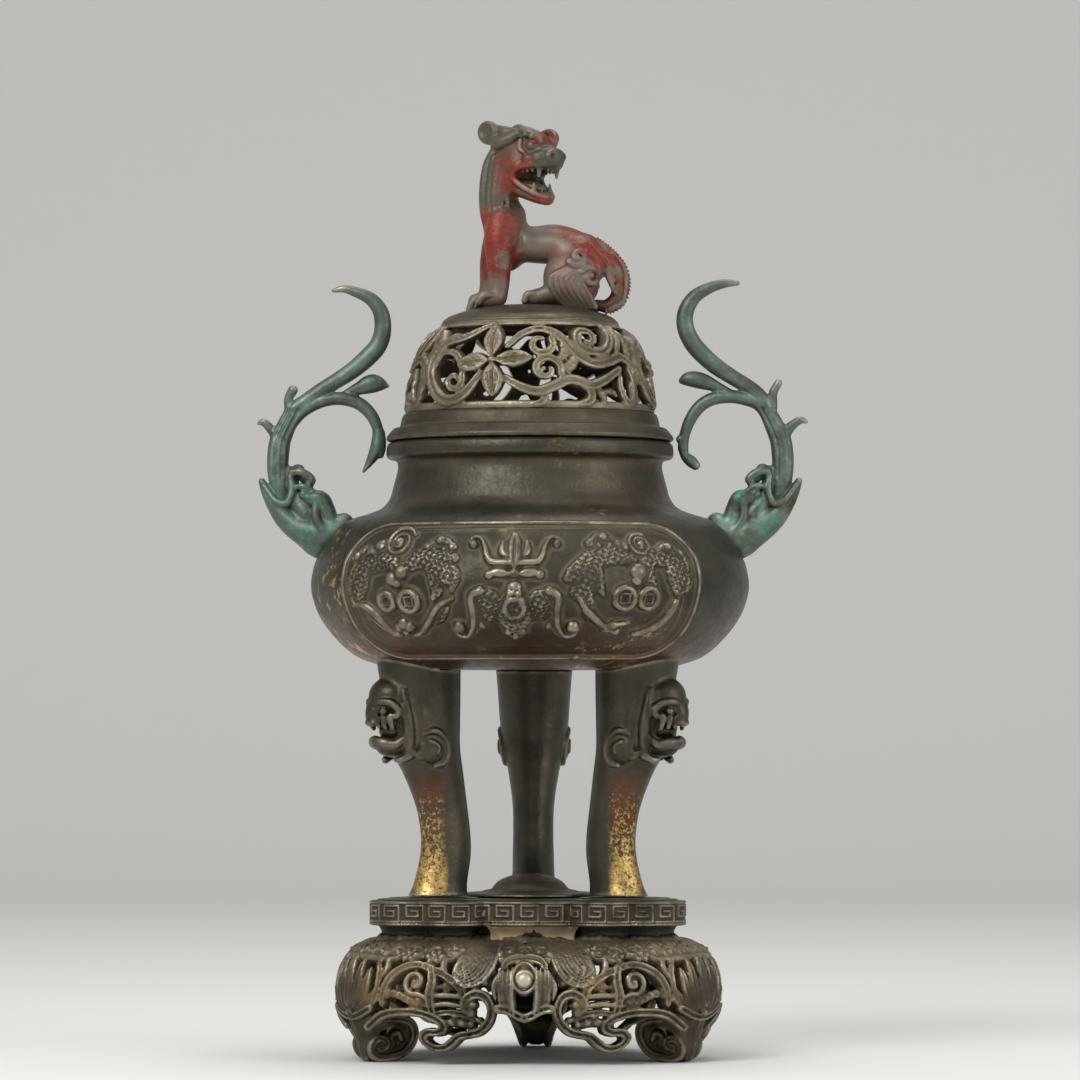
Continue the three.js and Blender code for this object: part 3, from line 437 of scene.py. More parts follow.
def blurred(field, reach):
    """The field averaged over a cube of cells on each side"""
    for axis in range(field.ndim):
        margins = [(reach + 1, reach) if i == axis else (0, 0) for i in range(field.ndim)]
        total = np.cumsum(np.pad(field, margins, mode="edge"), axis=axis)
        size = total.shape[axis]
        high = np.take(total, range(2 * reach + 1, size), axis=axis)
        low = np.take(total, range(0, size - 2 * reach - 1), axis=axis)
        field = (high - low) / (2 * reach + 1)
    return field


def rough_skin(u, v):
    """An uneven, crumbled pattern about zero"""
    return (np.sin(u * 5.1 + 1.9 * np.sin(v * 2.3 + u)) + np.sin(v * 6.3 + 2.3 * np.sin(u * 1.7 - v))
            + 0.8 * np.sin((u + v) * 8.7 + 3.1 * np.sin(v * 1.3))
            + 0.6 * np.sin((u - v) * 11.9 + 2.7 * np.sin(u * 2.1)))


class Relief:
    """A drawing board on a surface: how far inside the metal a point is, and how high the metal stands.
    Its strokes go through (along, up) points in millimetres"""

    def __init__(self, low, high, step=0.12, period=None):
        self.low, self.step, self.period = np.array(low, float), step, period
        self.count = np.ceil((np.array(high) - low) / step).astype(int) + 1
        self.cover = np.full(self.count, -2.0)
        self.height = np.zeros(self.count)
        self.mirrored = False
        self.swell = self.lift = 1.0

    def window(self, points, margin):
        """The cells near the points, and their places"""
        low = np.floor((points[:, :2].min(0) - margin - self.low) / self.step).astype(int)
        high = np.ceil((points[:, :2].max(0) + margin - self.low) / self.step).astype(int) + 1
        low, high = np.maximum(low, 0), np.minimum(high, self.count)
        if (high <= low).any():
            return None
        rows = slice(low[0], high[0]), slice(low[1], high[1])
        u = self.low[0] + np.arange(low[0], high[0])[:, None] * self.step
        v = self.low[1] + np.arange(low[1], high[1])[None, :] * self.step
        return rows, u, v

    def lay(self, points, width, height, outline, rib=0.0, veins=0.0, crown=0.5, edge=0.0, grain=0.0,
            on=None):
        """Lays a bar along the points; outline(t) scales its width from one end to the other.
        Rib sinks a groove along it, veins cut slanting hatches, grain roughens it and on adds it to
        what is there already"""
        path = smooth_path(points)
        width, height = width * self.swell, height * self.lift
        moves = [(shift, 1) for shift in ((0,) if self.period is None else (-self.period, 0, self.period))]
        if self.mirrored:
            moves.append((0, -1))
        for shift, side in moves:
            moved = path * [side, 1] + [shift, 0]
            found = self.window(moved, width)
            if found is None:
                continue
            rows, u, v = found
            nearest = np.full((u.shape[0], v.shape[1]), 1e9)
            along = np.zeros_like(nearest)
            for i, (pu, pv) in enumerate(moved):
                distance = (u - pu) ** 2 + (v - pv) ** 2
                closer = distance < nearest
                nearest[closer] = distance[closer]
                along[closer] = i
            nearest = np.sqrt(nearest)
            t = along / (len(moved) - 1)
            half = np.maximum(width / 2 * outline(t), 0.01)
            inside = half - nearest
            share = np.clip(nearest / half, 0, 1)
            stand = height * (edge + (1 - edge) * (1 - share ** 2) ** crown)
            stand *= 1 - rib * np.exp(-(nearest / RIB_HALF) ** 2)
            if veins:
                stand *= 1 - veins * (0.5 + 0.5 * np.cos(along * VEIN_PITCH - nearest * VEIN_SLANT))
            if grain:
                stand *= 1 - grain * (0.5 + 0.16 * rough_skin(u, v))
            stand[inside <= 0] = 0
            self.cover[rows] = np.maximum(self.cover[rows], inside)
            if on is None:
                self.height[rows] = np.maximum(self.height[rows], stand)
            else:
                self.height[rows] += stand * on

    # Outlines: rounded at both ends, even, tapering to the end, pointed at both ends

    def bar(self, points, width, height=1.0, **more):
        self.lay(points, width, height, lambda t: 0.5 + 0.5 * np.sin(np.pi * np.clip(t, 0, 1)) ** 0.5, **more)

    def band(self, points, width, height=1.0, **more):
        self.lay(points, width, height, lambda t: np.ones_like(t), **more)

    def tail(self, points, width, height=1.0, **more):
        self.lay(points, width, height, lambda t: np.clip(1.06 - t, 0.06, 1) ** 0.7, **more)

    def leaf(self, points, width, height=1.0, **more):
        self.lay(points, width, height, lambda t: np.sin(np.pi * np.clip(t * 0.96 + 0.02, 0, 1)) ** 0.75,
                 **more)

    def bead(self, u, v, radius, height=1.0, **more):
        self.band([(u, v), (u + 0.02, v)], radius * 2, height, **more)

    def beads(self, places, height, **more):
        for u, v, radius in places:
            self.bead(u, v, radius, height, **more)

    def ring(self, u, v, radius, width, height=1.0, **more):
        self.band(curl(u, v, radius, radius, 0, 360, 24), width, height, **more)

    def sample(self, board, u, v):
        """What a board says at places between its cells"""
        if self.period is not None:
            u = (u - self.low[0]) % self.period + self.low[0]
        x = np.clip((u - self.low[0]) / self.step, 0, self.count[0] - 1.001)
        y = np.clip((v - self.low[1]) / self.step, 0, self.count[1] - 1.001)
        i, j = x.astype(int), y.astype(int)
        a, b = x - i, y - j
        return (board[i, j] * (1 - a) * (1 - b) + board[i + 1, j] * a * (1 - b)
                + board[i, j + 1] * (1 - a) * b + board[i + 1, j + 1] * a * b)


def object_from(name, points, faces, hollow=None):
    """A smooth mesh from points in millimetres.
    Hollow says how deep in a recess each point lies, negative on edges"""
    mesh = bpy.data.meshes.new(name)
    mesh.from_pydata((points * MM).tolist(), [], faces)
    if hollow is not None:
        layer = mesh.attributes.new("hollow", "FLOAT", "POINT")
        layer.data.foreach_set("value", np.asarray(hollow, np.float32))
    mesh.validate()
    mesh.shade_smooth()
    obj = bpy.data.objects.new(name, mesh)
    bpy.context.scene.collection.objects.link(obj)
    return obj


def at_cells(field, points):
    """The field's value at points given in cells"""
    p = np.clip(points, 0, np.array(field.shape) - 1.001)
    base = p.astype(int)
    part = p - base
    value = np.zeros(len(p))
    for corner in range(8):
        step = np.array([corner & 1, corner >> 1 & 1, corner >> 2])
        weight = np.prod(np.where(step, part, 1 - part), axis=1)
        i, j, k = (base + step).T
        value += weight * field[i, j, k]
    return value


def skin(name, field, low, voxel):
    """The surface where the field is zero, metal where it is positive"""
    grid = openvdb.FloatGrid(1.0)
    grid.copyFromArray((-field).astype(np.float32))
    points, quads = grid.convertToQuads(isovalue=0.0)
    reach = max(1, round(HOLLOW_REACH / voxel))
    mean = blurred(np.clip(field, -1, 1), reach)
    hollow = at_cells(mean, points) * HOLLOW_GAIN
    return object_from(name, points * voxel + np.array(low), quads[:, ::-1].tolist(), np.clip(hollow, -1, 1))


class Clay:
    """A block of space in which limbs are joined, cut and engraved"""

    def __init__(self, low, high, voxel):
        self.low, self.voxel = np.array(low, float), voxel
        count = np.ceil((np.array(high) - low) / voxel).astype(int) + 1
        self.axes = [self.low[i] + np.arange(count[i]) * voxel for i in range(3)]
        self.field = np.full(count, AIR)

    def window(self, points, reach):
        """The cells within reach of the points, and their places"""
        low, high = points.min(0) - reach, points.max(0) + reach
        cuts = [slice(np.searchsorted(axis, a), np.searchsorted(axis, b))
                for axis, a, b in zip(self.axes, low, high)]
        x, y, z = (axis[cut] for axis, cut in zip(self.axes, cuts))
        return tuple(cuts), x[:, None, None], y[None, :, None], z[None, None, :]

    def add(self, cuts, inside, soft, carve=False):
        """Joins a form to the block, or carves it out, with its edge rounded over the soft distance"""
        old = self.field[cuts]
        side = -1 if carve else 1
        new = side * inside
        blend = np.clip(0.5 + side * 0.5 * (new - old) / soft, 0, 1)
        self.field[cuts] = old * (1 - blend) + new * blend + side * soft * blend * (1 - blend)

    def limb(self, stations, soft=0.8, flat=1.0, carve=False):
        """A round limb through (x, y, z, radius) stations; flat squeezes it along y"""
        path = smooth_path(stations, STATION_STEP)
        reach = path[:, 3].max() * max(flat, 1) + soft + CLAY_MARGIN
        cuts, x, y, z = self.window(path[:, :3], reach)
        inside = np.full(np.broadcast_shapes(x.shape, y.shape, z.shape), BELOW_ALL)
        for (ax, ay, az, ar), (bx, by, bz, br) in zip(path, path[1:]):
            dx, dy, dz = bx - ax, (by - ay) / flat, bz - az
            length = dx * dx + dy * dy + dz * dz + 1e-9
            px, py, pz = x - ax, (y - ay) / flat, z - az
            t = np.clip((px * dx + py * dy + pz * dz) / length, 0, 1)
            distance = np.sqrt((px - t * dx) ** 2 + (py - t * dy) ** 2 + (pz - t * dz) ** 2)
            inside = np.maximum(inside, ar + (br - ar) * t - distance)
        inside *= min(flat, 1)
        self.add(cuts, inside, soft, carve)

    def both(self, stations, **more):
        """A limb and its mirror image across the xz plane"""
        for side in (1, -1):
            self.limb([(s[0], side * s[1], *s[2:]) for s in stations], **more)

    def ball(self, centre, radii, soft=0.8, turn=0.0, carve=False):
        """An ellipsoid, turned in the xz plane by an angle in degrees"""
        centre, radii = np.array(centre, float), np.array(radii, float)
        cuts, x, y, z = self.window(centre[None], radii.max() + soft + CLAY_MARGIN)
        c, s = math.cos(math.radians(turn)), math.sin(math.radians(turn))
        px, py, pz = x - centre[0], y - centre[1], z - centre[2]
        qx, qz = px * c + pz * s, pz * c - px * s
        scaled = np.sqrt((qx / radii[0]) ** 2 + (py / radii[1]) ** 2 + (qz / radii[2]) ** 2)
        inside = (1 - scaled) * radii.min()
        self.add(cuts, inside, soft, carve)

    def balls(self, centre, radii, **more):
        """A ball and its mirror image across the xz plane"""
        for side in (1, -1):
            self.ball((centre[0], side * centre[1], centre[2]), radii, **more)

    def slab(self, stations, width):
        """Discs through (x, z, radius) stations; |y| is at most what width(z) gives"""
        path = smooth_path(stations, STATION_STEP)
        reach = path[:, 2].max() + SLAB_SOFT + CLAY_MARGIN
        corners = np.array([(px, py, pz) for px, pz, _ in path for py in self.axes[1][[0, -1]]])
        cuts, x, y, z = self.window(corners, reach)
        flat = np.full((x.shape[0], 1, z.shape[2]), BELOW_ALL)
        for px, pz, radius in path:
            flat = np.maximum(flat, radius - np.hypot(x - px, z - pz))
        flat, thick = np.broadcast_arrays(flat, width(z) - np.abs(y))
        corner = SLAB_EDGE - np.hypot(np.maximum(SLAB_EDGE - flat, 0), np.maximum(SLAB_EDGE - thick, 0))
        near = (flat < SLAB_EDGE) & (thick < SLAB_EDGE)
        self.add(cuts, np.where(near, corner, np.minimum(flat, thick)), SLAB_SOFT)

    def graft(self, other, pivot, turn):
        """Joins another block of clay, turned about an upright line through the pivot"""
        centre = np.array(pivot, float)
        # The part of this block that the turned one may reach
        span = (other.axes[0][-1] - other.axes[0][0]) / 2
        middle = np.array([centre[0] + span * 0.5, centre[1] - span * 0.3])
        lows = [middle[0] - span * 1.4, middle[1] - span * 1.4, other.axes[2][0]]
        highs = [middle[0] + span * 1.2, middle[1] + span * 1.4, other.axes[2][-1]]
        cuts, x, y, z = self.window(np.array([lows, highs]), 0)
        c, s = math.cos(math.radians(turn)), math.sin(math.radians(turn))
        px, py, pz = np.broadcast_arrays(x - centre[0], y - centre[1], z)
        local = np.stack([centre[0] + px * c - py * s, centre[1] + px * s + py * c, pz], axis=3)
        cells = (local.reshape(-1, 3) - other.low) / other.voxel
        inside = at_cells(other.field, cells)
        far = ((cells < 0) | (cells > np.array(other.field.shape) - 1)).any(axis=1)
        inside[far] = AIR
        self.add(cuts, inside.reshape(px.shape), GRAFT_SOFT)

    def plan(self):
        """The x and y of every column of the block"""
        return self.axes[0][:, None, None], self.axes[1][None, :, None]

    def keep_outside(self, radius_at):
        """Cuts away what lies within a turned form about the burner's axis"""
        reach = np.hypot(*self.plan()) - radius_at(self.axes[2])[None, None, :]
        self.field = np.minimum(self.field, reach)

    def keep_above(self, height):
        self.field = np.minimum(self.field, (self.axes[2] - height)[None, None, :])

    def halves(self, base=0.0):
        return [Half(self, side, base) for side in (-1, 1)]

    def made(self, name):
        self.field[[0, -1]] = -1
        self.field[:, [0, -1]] = -1
        self.field[:, :, [0, -1]] = -1
        return skin(name, self.field, self.low, self.voxel)


class Half:
    """One side of a block of clay: y counts away from the middle plane, z up from the base"""

    def __init__(self, clay, side, base=0.0):
        self.clay, self.side, self.base = clay, side, base

    def placed(self, x, y, z, *rest):
        return x, self.side * y, self.base + z, *rest

    def limb(self, stations, **more):
        self.clay.limb([self.placed(*station) for station in stations], **more)

    def ball(self, centre, radii, **more):
        self.clay.ball(self.placed(*centre), radii, **more)


def moved(obj, x=0.0, y=0.0, z=0.0):
    """Moves a piece's mesh by a distance in millimetres"""
    obj.data.transform(Matrix.Translation((x * MM, y * MM, z * MM)))
    return obj


def turned(obj, azimuth):
    """Turns a piece's mesh about the burner's axis"""
    obj.data.transform(Matrix.Rotation(math.radians(azimuth), 4, "Z"))
    return obj


def copy_of(obj, name, azimuth):
    """A copy of a piece, turned about the burner's axis"""
    twin = bpy.data.objects.new(name, obj.data.copy())
    bpy.context.scene.collection.objects.link(twin)
    return turned(twin, azimuth)


def ring_faces(rows, sides, closed):
    """Quads between rows of points that run round a piece, and back to the first row if closed"""
    faces = []
    for row in range(rows if closed else rows - 1):
        below, above = row * sides, (row + 1) % rows * sides
        faces += [(below + i, below + (i + 1) % sides, above + (i + 1) % sides, above + i)
                  for i in range(sides)]
    return faces


def lathe(name, profile, sides=192, closed=False):
    """A turned piece from (radius, height) points in mm, or a closed ring of them"""
    rows = np.array(profile, float)
    angle = np.arange(sides) * 2 * math.pi / sides
    points = np.stack([rows[:, :1] * np.cos(angle), rows[:, :1] * np.sin(angle),
                       np.repeat(rows[:, 1:], sides, axis=1)], axis=2).reshape(-1, 3)
    faces = ring_faces(len(rows), sides, closed)
    return cleaned(object_from(name, points, faces, np.repeat(turning(rows, closed), sides)))


def sheet(name, front, back, hollow=None):
    """A thin casting between two grids of points, closed by a rim"""
    size = front.shape[0] * front.shape[1]
    index = np.arange(size).reshape(front.shape[:2])
    face = np.stack([index[:-1, :-1], index[1:, :-1], index[1:, 1:], index[:-1, 1:]], axis=2).reshape(-1, 4)
    rim = [*index[:, 0], *index[-1, 1:], *index[-2::-1, -1], *index[0, -2:0:-1]]
    sides = [(b, a, a + size, b + size) for a, b in zip(rim, rim[1:] + rim[:1])]
    points = np.vstack([grid.reshape(-1, 3) for grid in (front, back)])
    return object_from(name, points, face.tolist() + (face[:, ::-1] + size).tolist() + sides, hollow)


def turning(rows, closed):
    """How much a profile bends inwards at each point, from -1 on an edge to 1 in a groove"""
    if closed:
        ways = np.roll(rows, -1, axis=0) - rows
        before = np.roll(ways, 1, axis=0)
    else:
        ways = np.vstack([np.diff(rows, axis=0), rows[-1:] - rows[-2:-1]])
        before = np.vstack([ways[:1], ways[:-1]])
    cross = before[:, 0] * ways[:, 1] - before[:, 1] * ways[:, 0]
    size = np.hypot(*before.T) * np.hypot(*ways.T) + 1e-9
    bend = -np.arcsin(np.clip(cross / size, -1, 1))
    kernel = np.array([0.5, 1, 0.5])
    return np.clip(np.convolve(bend, kernel, mode="same") * 0.9, -1, 1)


def cleaned(obj):
    """Welds doubled points and turns the faces outwards"""
    work = bmesh.new()
    work.from_mesh(obj.data)
    bmesh.ops.remove_doubles(work, verts=work.verts, dist=1e-6)
    bmesh.ops.dissolve_degenerate(work, edges=work.edges, dist=1e-7)
    bmesh.ops.recalc_face_normals(work, faces=work.faces)
    work.to_mesh(obj.data)
    work.free()
    obj.data.shade_smooth()
    return obj


def cornered(profile, size, closed=True):
    """A profile whose corners are cut by short curves"""
    made = []
    points = [np.array(p, float) for p in profile]
    for i, here in enumerate(points):
        if not closed and i in (0, len(points) - 1):
            made.append(tuple(here))
            continue
        starts = []
        for other in (points[i - 1], points[(i + 1) % len(points)]):
            way = other - here
            length = max(np.hypot(*way), 1e-6)
            starts.append(here + way / length * min(size, length * 0.4))
        for t in (0, 0.25, 0.5, 0.75, 1):
            made.append(tuple(starts[0] * (1 - t) ** 2 + here * 2 * t * (1 - t) + starts[1] * t ** 2))
    return made


def dense(profile, spacing, closed=True):
    """The same profile with points no further apart than the spacing"""
    made = []
    ends = profile[1:] + profile[:1] if closed else profile[1:]
    for a, b in zip(profile, ends):
        steps = max(1, math.ceil(math.dist(a, b) / spacing))
        made += [(a[0] + (b[0] - a[0]) * i / steps, a[1] + (b[1] - a[1]) * i / steps) for i in range(steps)]
    return made if closed else [*made, profile[-1]]


def level(node, end):
    """Lowest or highest level of a casting of the frame, in millimetres"""
    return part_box(node)[end].z / MM


def set_piece(obj, body, slot, node, finish=None):
    """Puts a finished piece on its body, in place of its plain casting"""
    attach(obj, body)
    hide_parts(node)
    wear(obj, finish or slot)


def front_angle(x, y):
    """Angle about the axis from the front, positive to the right"""
    return np.arctan2(x, -y)


def pierced(name, board, place, low, high, voxel, outer, inner):
    """Metal of a turned or lobed shell wherever its board is covered.
    place(radius, angle, height) gives the distance outside the wall's middle and the place on the board"""
    count = [math.ceil((b - a) / voxel) + 1 for a, b in zip(low, high)]
    x, y, z = (a + np.arange(n) * voxel for a, n in zip(low, count))
    x, y = np.meshgrid(x, y, indexing="ij")
    field = np.full(count, WALL_AIR, np.float32)
    radius, angle = np.hypot(x, y), front_angle(x, y)
    for k, height in enumerate(z):
        offset, u, v = place(radius, angle, height)
        near = np.abs(offset) < WALL_REACH
        cover = board.sample(board.cover, u[near], v[near])
        relief = board.sample(board.height, u[near], v[near])
        inside = np.minimum(outer + relief - offset[near], inner + offset[near])
        field[:, :, k][near] = np.clip(np.minimum(inside, cover), WALL_AIR, WALL_METAL)
    return skin(name, field, low, voxel)


# The stand: plate, waist and boss

# Discs of one lobe: distance from the axis, turn from the foot, radius
LOBE_DISCS = ((0.0, 0, 23.6), (20.0, 0, 10.0), (28.8, 0, 9.2), (25.4, -17.9, 7.4), (25.4, 17.9, 7.4))
PAD_CENTRE = 23.2
# How far the pads rise above the plate, and the plate's edge stands out from the lobes
PAD_RISE, PLATE_OUTSET = 0.6, 1.1
# Length of one spiral of the fret, the width and height of its lines
FRET_PERIOD, FRET_LINE, FRET_RELIEF = 5.6, 0.62, 0.48
# How deep the boss's spigot goes, and how far the waist is set in from the lobes
BOSS_SPIGOT, WAIST_INSET = 3, 1.2
# Turn of the concave faces past the brackets, in degrees
NECK_LEAN = 3.5


def trefoil_radius(angle, inset):
    """Reach of the stand's lobed outline in each direction"""
    reach = np.zeros_like(angle)
    for foot in LEG_AZIMUTHS.values():
        for distance, turn, radius in LOBE_DISCS:
            away = angle - math.radians(foot + turn)
            across = distance * np.sin(away)
            hit = (radius - inset) ** 2 - across ** 2
            far = distance * np.cos(away) + np.sqrt(np.maximum(hit, 0))
            reach = np.where(hit > 0, np.maximum(reach, far), reach)
    return reach


def trefoil(inset, spacing):
    """Evenly spaced points of the lobed outline, and which way is out at each"""
    angle = np.linspace(0, 2 * math.pi, 9001)[:-1]
    reach = trefoil_radius(angle, inset)
    line = np.stack([reach * np.cos(angle), reach * np.sin(angle)], 1)
    closed = np.vstack([line, line[:1]])
    length = np.concatenate([[0], np.cumsum(np.hypot(*np.diff(closed, axis=0).T))])
    count = round(length[-1] / spacing)
    at = np.arange(count) * length[-1] / count
    points = np.stack([np.interp(at, length, closed[:, i]) for i in (0, 1)], 1)
    way = np.roll(points, -2, axis=0) - np.roll(points, 2, axis=0)
    out = np.stack([way[:, 1], -way[:, 0]], 1) / np.hypot(*way.T)[:, None]
    return points, out, at, length[-1]


def swept(name, points, out, rows, capped=True):
    """A wall through rows of offset outwards, height and, where given, how hollow.
    Each is one number or one per point"""
    count = len(points)
    rings, hollow = [], []
    for offset, height, *deep in rows:
        place = points + out * np.broadcast_to(offset, count)[:, None]
        rings.append(np.column_stack([place, np.broadcast_to(height, count)]))
        hollow.append(np.broadcast_to(deep[0] if deep else 0.0, count))
    faces = ring_faces(len(rows), count, not capped)
    if capped:
        faces += [tuple(range(count - 1, -1, -1)), tuple((len(rows) - 1) * count + i for i in range(count))]
    return object_from(name, np.vstack(rings), faces, np.concatenate(hollow))


def draw_fret(period, height):
    """Squared spirals between two border lines"""
    board = Relief((0, 0), (period, height), 0.05, period)
    for v in (0.35, height - 0.35):
        board.band([(0, v), (period, v)], FRET_LINE, FRET_RELIEF, edge=0.5)
    left, right, low, high = 0.35, period - 0.3, 1.0, height - 1.0
    step = (high - low) / 3
    corners = [(left, low), (right, low), (right, high), (left + step, high), (left + step, low + step),
               (right - step, low + step), (right - step, high - step), (left + 2 * step, high - step)]
    for a, b in zip(corners, corners[1:]):
        board.band([a, b], FRET_LINE, FRET_RELIEF, edge=0.4)
    return board


def make_plate():
    """The lobed plate with its fretted edge"""
    base, top = level("stand_plate", 0), level("stand_plate", 1) - PAD_RISE
    points, out, at, length = trefoil(-PLATE_OUTSET, 0.2)
    period = length / round(length / FRET_PERIOD)
    board = draw_fret(period, top - base)
    rows = [(-4.0, base), (-0.5, base), (-0.12, base + 0.1)]
    heights = np.arange(0.15, top - base - 0.1, 0.12)
    for h in heights:
        stand = board.sample(board.height, at, np.full_like(at, h))
        rows.append((stand - 0.42, base + h, np.interp(stand, (0.05, 0.2, 0.45), (1.0, 0.0, -0.9))))
    rows += [(-0.25, top - 0.05, -0.7), (-0.6, top, -0.3), (-1.5, top, 0.3), (-1.75, top + 0.1, 0.3),
             (-1.9, top + 0.3, -0.6), (-2.3, top + 0.33)]
    return swept("Stand_plate", points, out, rows)


def make_pad(name, azimuth):
    """The low disc under a leg's foot"""
    top = level("stand_plate", 1)
    profile = [(0.01, top - 1.0), (9.6, top - 1.0), (9.9, top - 0.75), (9.7, top - 0.5), (9.1, top - 0.4),
               (8.9, top - 0.1), (8.4, top), (0.01, top)]
    pad = lathe(name, cornered(profile, 0.2, closed=False), 96)
    return turned(moved(pad, PAD_CENTRE), azimuth)


def make_boss():
    """The button in the middle of the plate"""
    low, high = level("stand_boss", 0), level("stand_boss", 1)
    seat = low + BOSS_SPIGOT
    profile = [(0.01, low), (1.8, low), (1.8, seat), (14.3, seat), (14.9, seat + 0.2), (14.7, seat + 0.7),
               (13.6, seat + 0.85), (11.0, seat + 0.95), (10.3, seat + 1.3), (9.0, seat + 1.5)]
    dome = [(8.6, seat + 1.7), (7.2, seat + 3.3), (4.6, seat + 4.5), (2.0, seat + 4.95), (0.01, high)]
    return lathe("Stand_boss", [*cornered(profile, 0.25, closed=False), *smooth_path(dome, 0.4)], 128)


def ragged(at, length, size):
    """A height that wavers along a seam, the same at both ends"""
    turn = at / length * 2 * math.pi
    return size * (np.sin(turn * 9) * 0.3 + np.sin(turn * 23 + 1.3) * 0.3 + np.sin(turn * 57 + 0.6) * 0.25
                   + np.sin(turn * 131) * 0.2)


def make_waist():
    """The hollow neck between apron and plate, with a ragged seam of filler at its foot"""
    base, top = level("stand_waist", 0) - 0.6, level("stand_waist", 1) + 0.3
    points, out, at, length = trefoil(WAIST_INSET, 0.35)
    seam = ragged(at, length, 0.55)
    rows = [(-3.4, top, 0.8), (0.5, top, 0.8), (0.1, top - 0.4, 1.0), (-0.35, top - 1.3, 1.0),
            (-0.4, top - 2.4, 0.8), (-0.2 + np.maximum(seam, 0) * 0.3, base + 1.7 + seam, -0.4),
            (0.5 + seam * 0.3, base + 1.25 + seam * 0.8, -0.9), (1.3 + seam, base + 0.5 + seam * 0.2, -0.6),
            (1.9 + seam, base - 0.1, 0.4), (-3.4, base - 0.1)]
    return cleaned(swept("Stand_waist", points, out, rows, capped=False))


def make_neck(name, azimuth):
    """The concave face between two lobes, its upper corners flared like ears"""
    base, top = level("stand_waist", 0) - 0.5, level("stand_waist", 1) + 0.2
    across = np.linspace(-1, 1, 61)[:, None]
    up = np.linspace(0, 1, 21)[None, :]
    half = 9.6 + 0.9 * up ** 2 - 0.5 * np.sin(np.pi * up)
    flare = np.clip((np.abs(across) - 0.7) / 0.3, 0, 1) ** 1.5 * (0.4 + 1.5 * up ** 2)
    front = 21.9 + 0.9 * (2 * up - 0.9) ** 2 + flare
    wave = 0.25 * np.sin(across * 23) + 0.2 * np.sin(across * 41 + 1)
    z = base + (top - base) * up + wave * (1 - up) + np.clip(np.abs(across) - 0.86, 0, 1) * 3.4 * up
    y = across * half
    sheets = [np.stack(np.broadcast_arrays(x, y, z), axis=2) for x in (front, front - 1.3)]
    return turned(cleaned(sheet(name, *sheets)), azimuth + NECK_LEAN)


class BURNER_OT_plate(bpy.types.Operator):
    """Casts the fretted plate with its pads and boss, and the waist under it"""
    bl_idname = "burner.plate"
    bl_label = "Cast the Plate"

    def execute(self, context):
        set_piece(make_plate(), "stand", "worn_bronze", "stand_plate")
        for side, azimuth in LEG_AZIMUTHS.items():
            set_piece(make_pad("Pad_" + side, azimuth), "stand", "worn_bronze", "stand_plate")
        set_piece(make_boss(), "stand", "worn_bronze", "stand_boss")
        set_piece(make_waist(), "stand", "worn_bronze", "stand_waist", "shadowed")
        for side, azimuth in BRACKET_AZIMUTHS.items():
            set_piece(make_neck("Neck_" + side, azimuth), "stand", "worn_bronze", "stand_waist", "filler")
        return {"FINISHED"}


# The apron: three pierced panels, the scroll feet and the brackets over the seams

# Radius at which the board's widths are true
APRON_MEAN = 42.5
APRON_TOP = 26.5
BULGE_LEVEL = 13.5
# How far the wall draws in below its bulge
FOOT_TUCK = 6.6
SHOULDER_POWER = 2.5
# Corners of the blocks of space in which a panel, a bracket and a foot are made
PANEL_BLOCK = (14, -42, 2.4), (47.4, 42, 28.4)
BRACKET_BLOCK = (16, -10.5, 8), (41.5, 10.5, 29)
FOOT_BLOCK = (27.4, -10.2, -0.7), (47, 10.2, 15.6)
# How far the brackets' wall stands out from the panels', and how much coarser the panels may be
BRACKET_OUTSET, PANEL_COARSER = 0.9, 1.12


def apron_spans(angle):
    """Radius of the bulge and of the shoulder's upper edge; angle is from a foot"""
    lobe = np.maximum(0.5 + 0.5 * np.cos(3 * angle), 0) ** 0.8
    return 34.8 + 9.6 * lobe, 19.9 + 14.4 * lobe


def rounded(across, up):
    """Less than 1 inside the shoulder's curve, which is squarer than a circle, and 1 on it"""
    return (across ** SHOULDER_POWER + up ** SHOULDER_POWER) ** (1 / SHOULDER_POWER)


def apron_arc():
    """The distance up the wall to each height under the bulge, and to each turn of the shoulder above it"""
    bulge, top = apron_spans(0.26)
    heights = np.linspace(0, BULGE_LEVEL, 200)
    below = bulge - FOOT_TUCK * ((BULGE_LEVEL - heights) / BULGE_LEVEL) ** 1.5
    low = np.concatenate([[0], np.cumsum(np.hypot(np.diff(below), np.diff(heights)))])
    turns = np.linspace(0, math.pi / 2, 300)
    across, up = np.cos(turns), np.sin(turns)
    size = rounded(across, up)
    steps = np.hypot(np.diff(across / size) * (bulge - top), np.diff(up / size) * (APRON_TOP - BULGE_LEVEL))
    return heights, low, turns, low[-1] + np.concatenate([[0], np.cumsum(steps)])


def apron_place(shift, extra=0.0):
    """The barrel-shaped wall for pierced(): shift is the angle from a foot to the middle of the board"""
    heights, low, turns, high = apron_arc()

    def place(radius, angle, height):
        local = (angle - math.pi / 2 + math.pi) % (2 * math.pi) - math.pi
        bulge, top = apron_spans(local + shift)
        if height < BULGE_LEVEL:
            drop = max((BULGE_LEVEL - height) / BULGE_LEVEL, 0)
            slope = 1 / math.hypot(1, 1.5 * FOOT_TUCK / BULGE_LEVEL * drop ** 0.5)
            offset = (radius - bulge + FOOT_TUCK * drop ** 1.5) * slope
            rise = np.full_like(radius, np.interp(height, heights, low))
        else:
            across = np.maximum((radius - top) / (bulge - top), 1e-6)
            up = (height - BULGE_LEVEL) / (APRON_TOP - BULGE_LEVEL)
            size = rounded(across, up)
            power = SHOULDER_POWER - 1
            lean = np.hypot(across ** power / (bulge - top), up ** power / (APRON_TOP - BULGE_LEVEL))
            offset = (size - 1) / (lean / size ** power)
            rise = np.interp(np.arctan2(up, across), turns, high) + np.maximum(top - radius, 0)
        return offset - extra, local * APRON_MEAN, rise

    return place


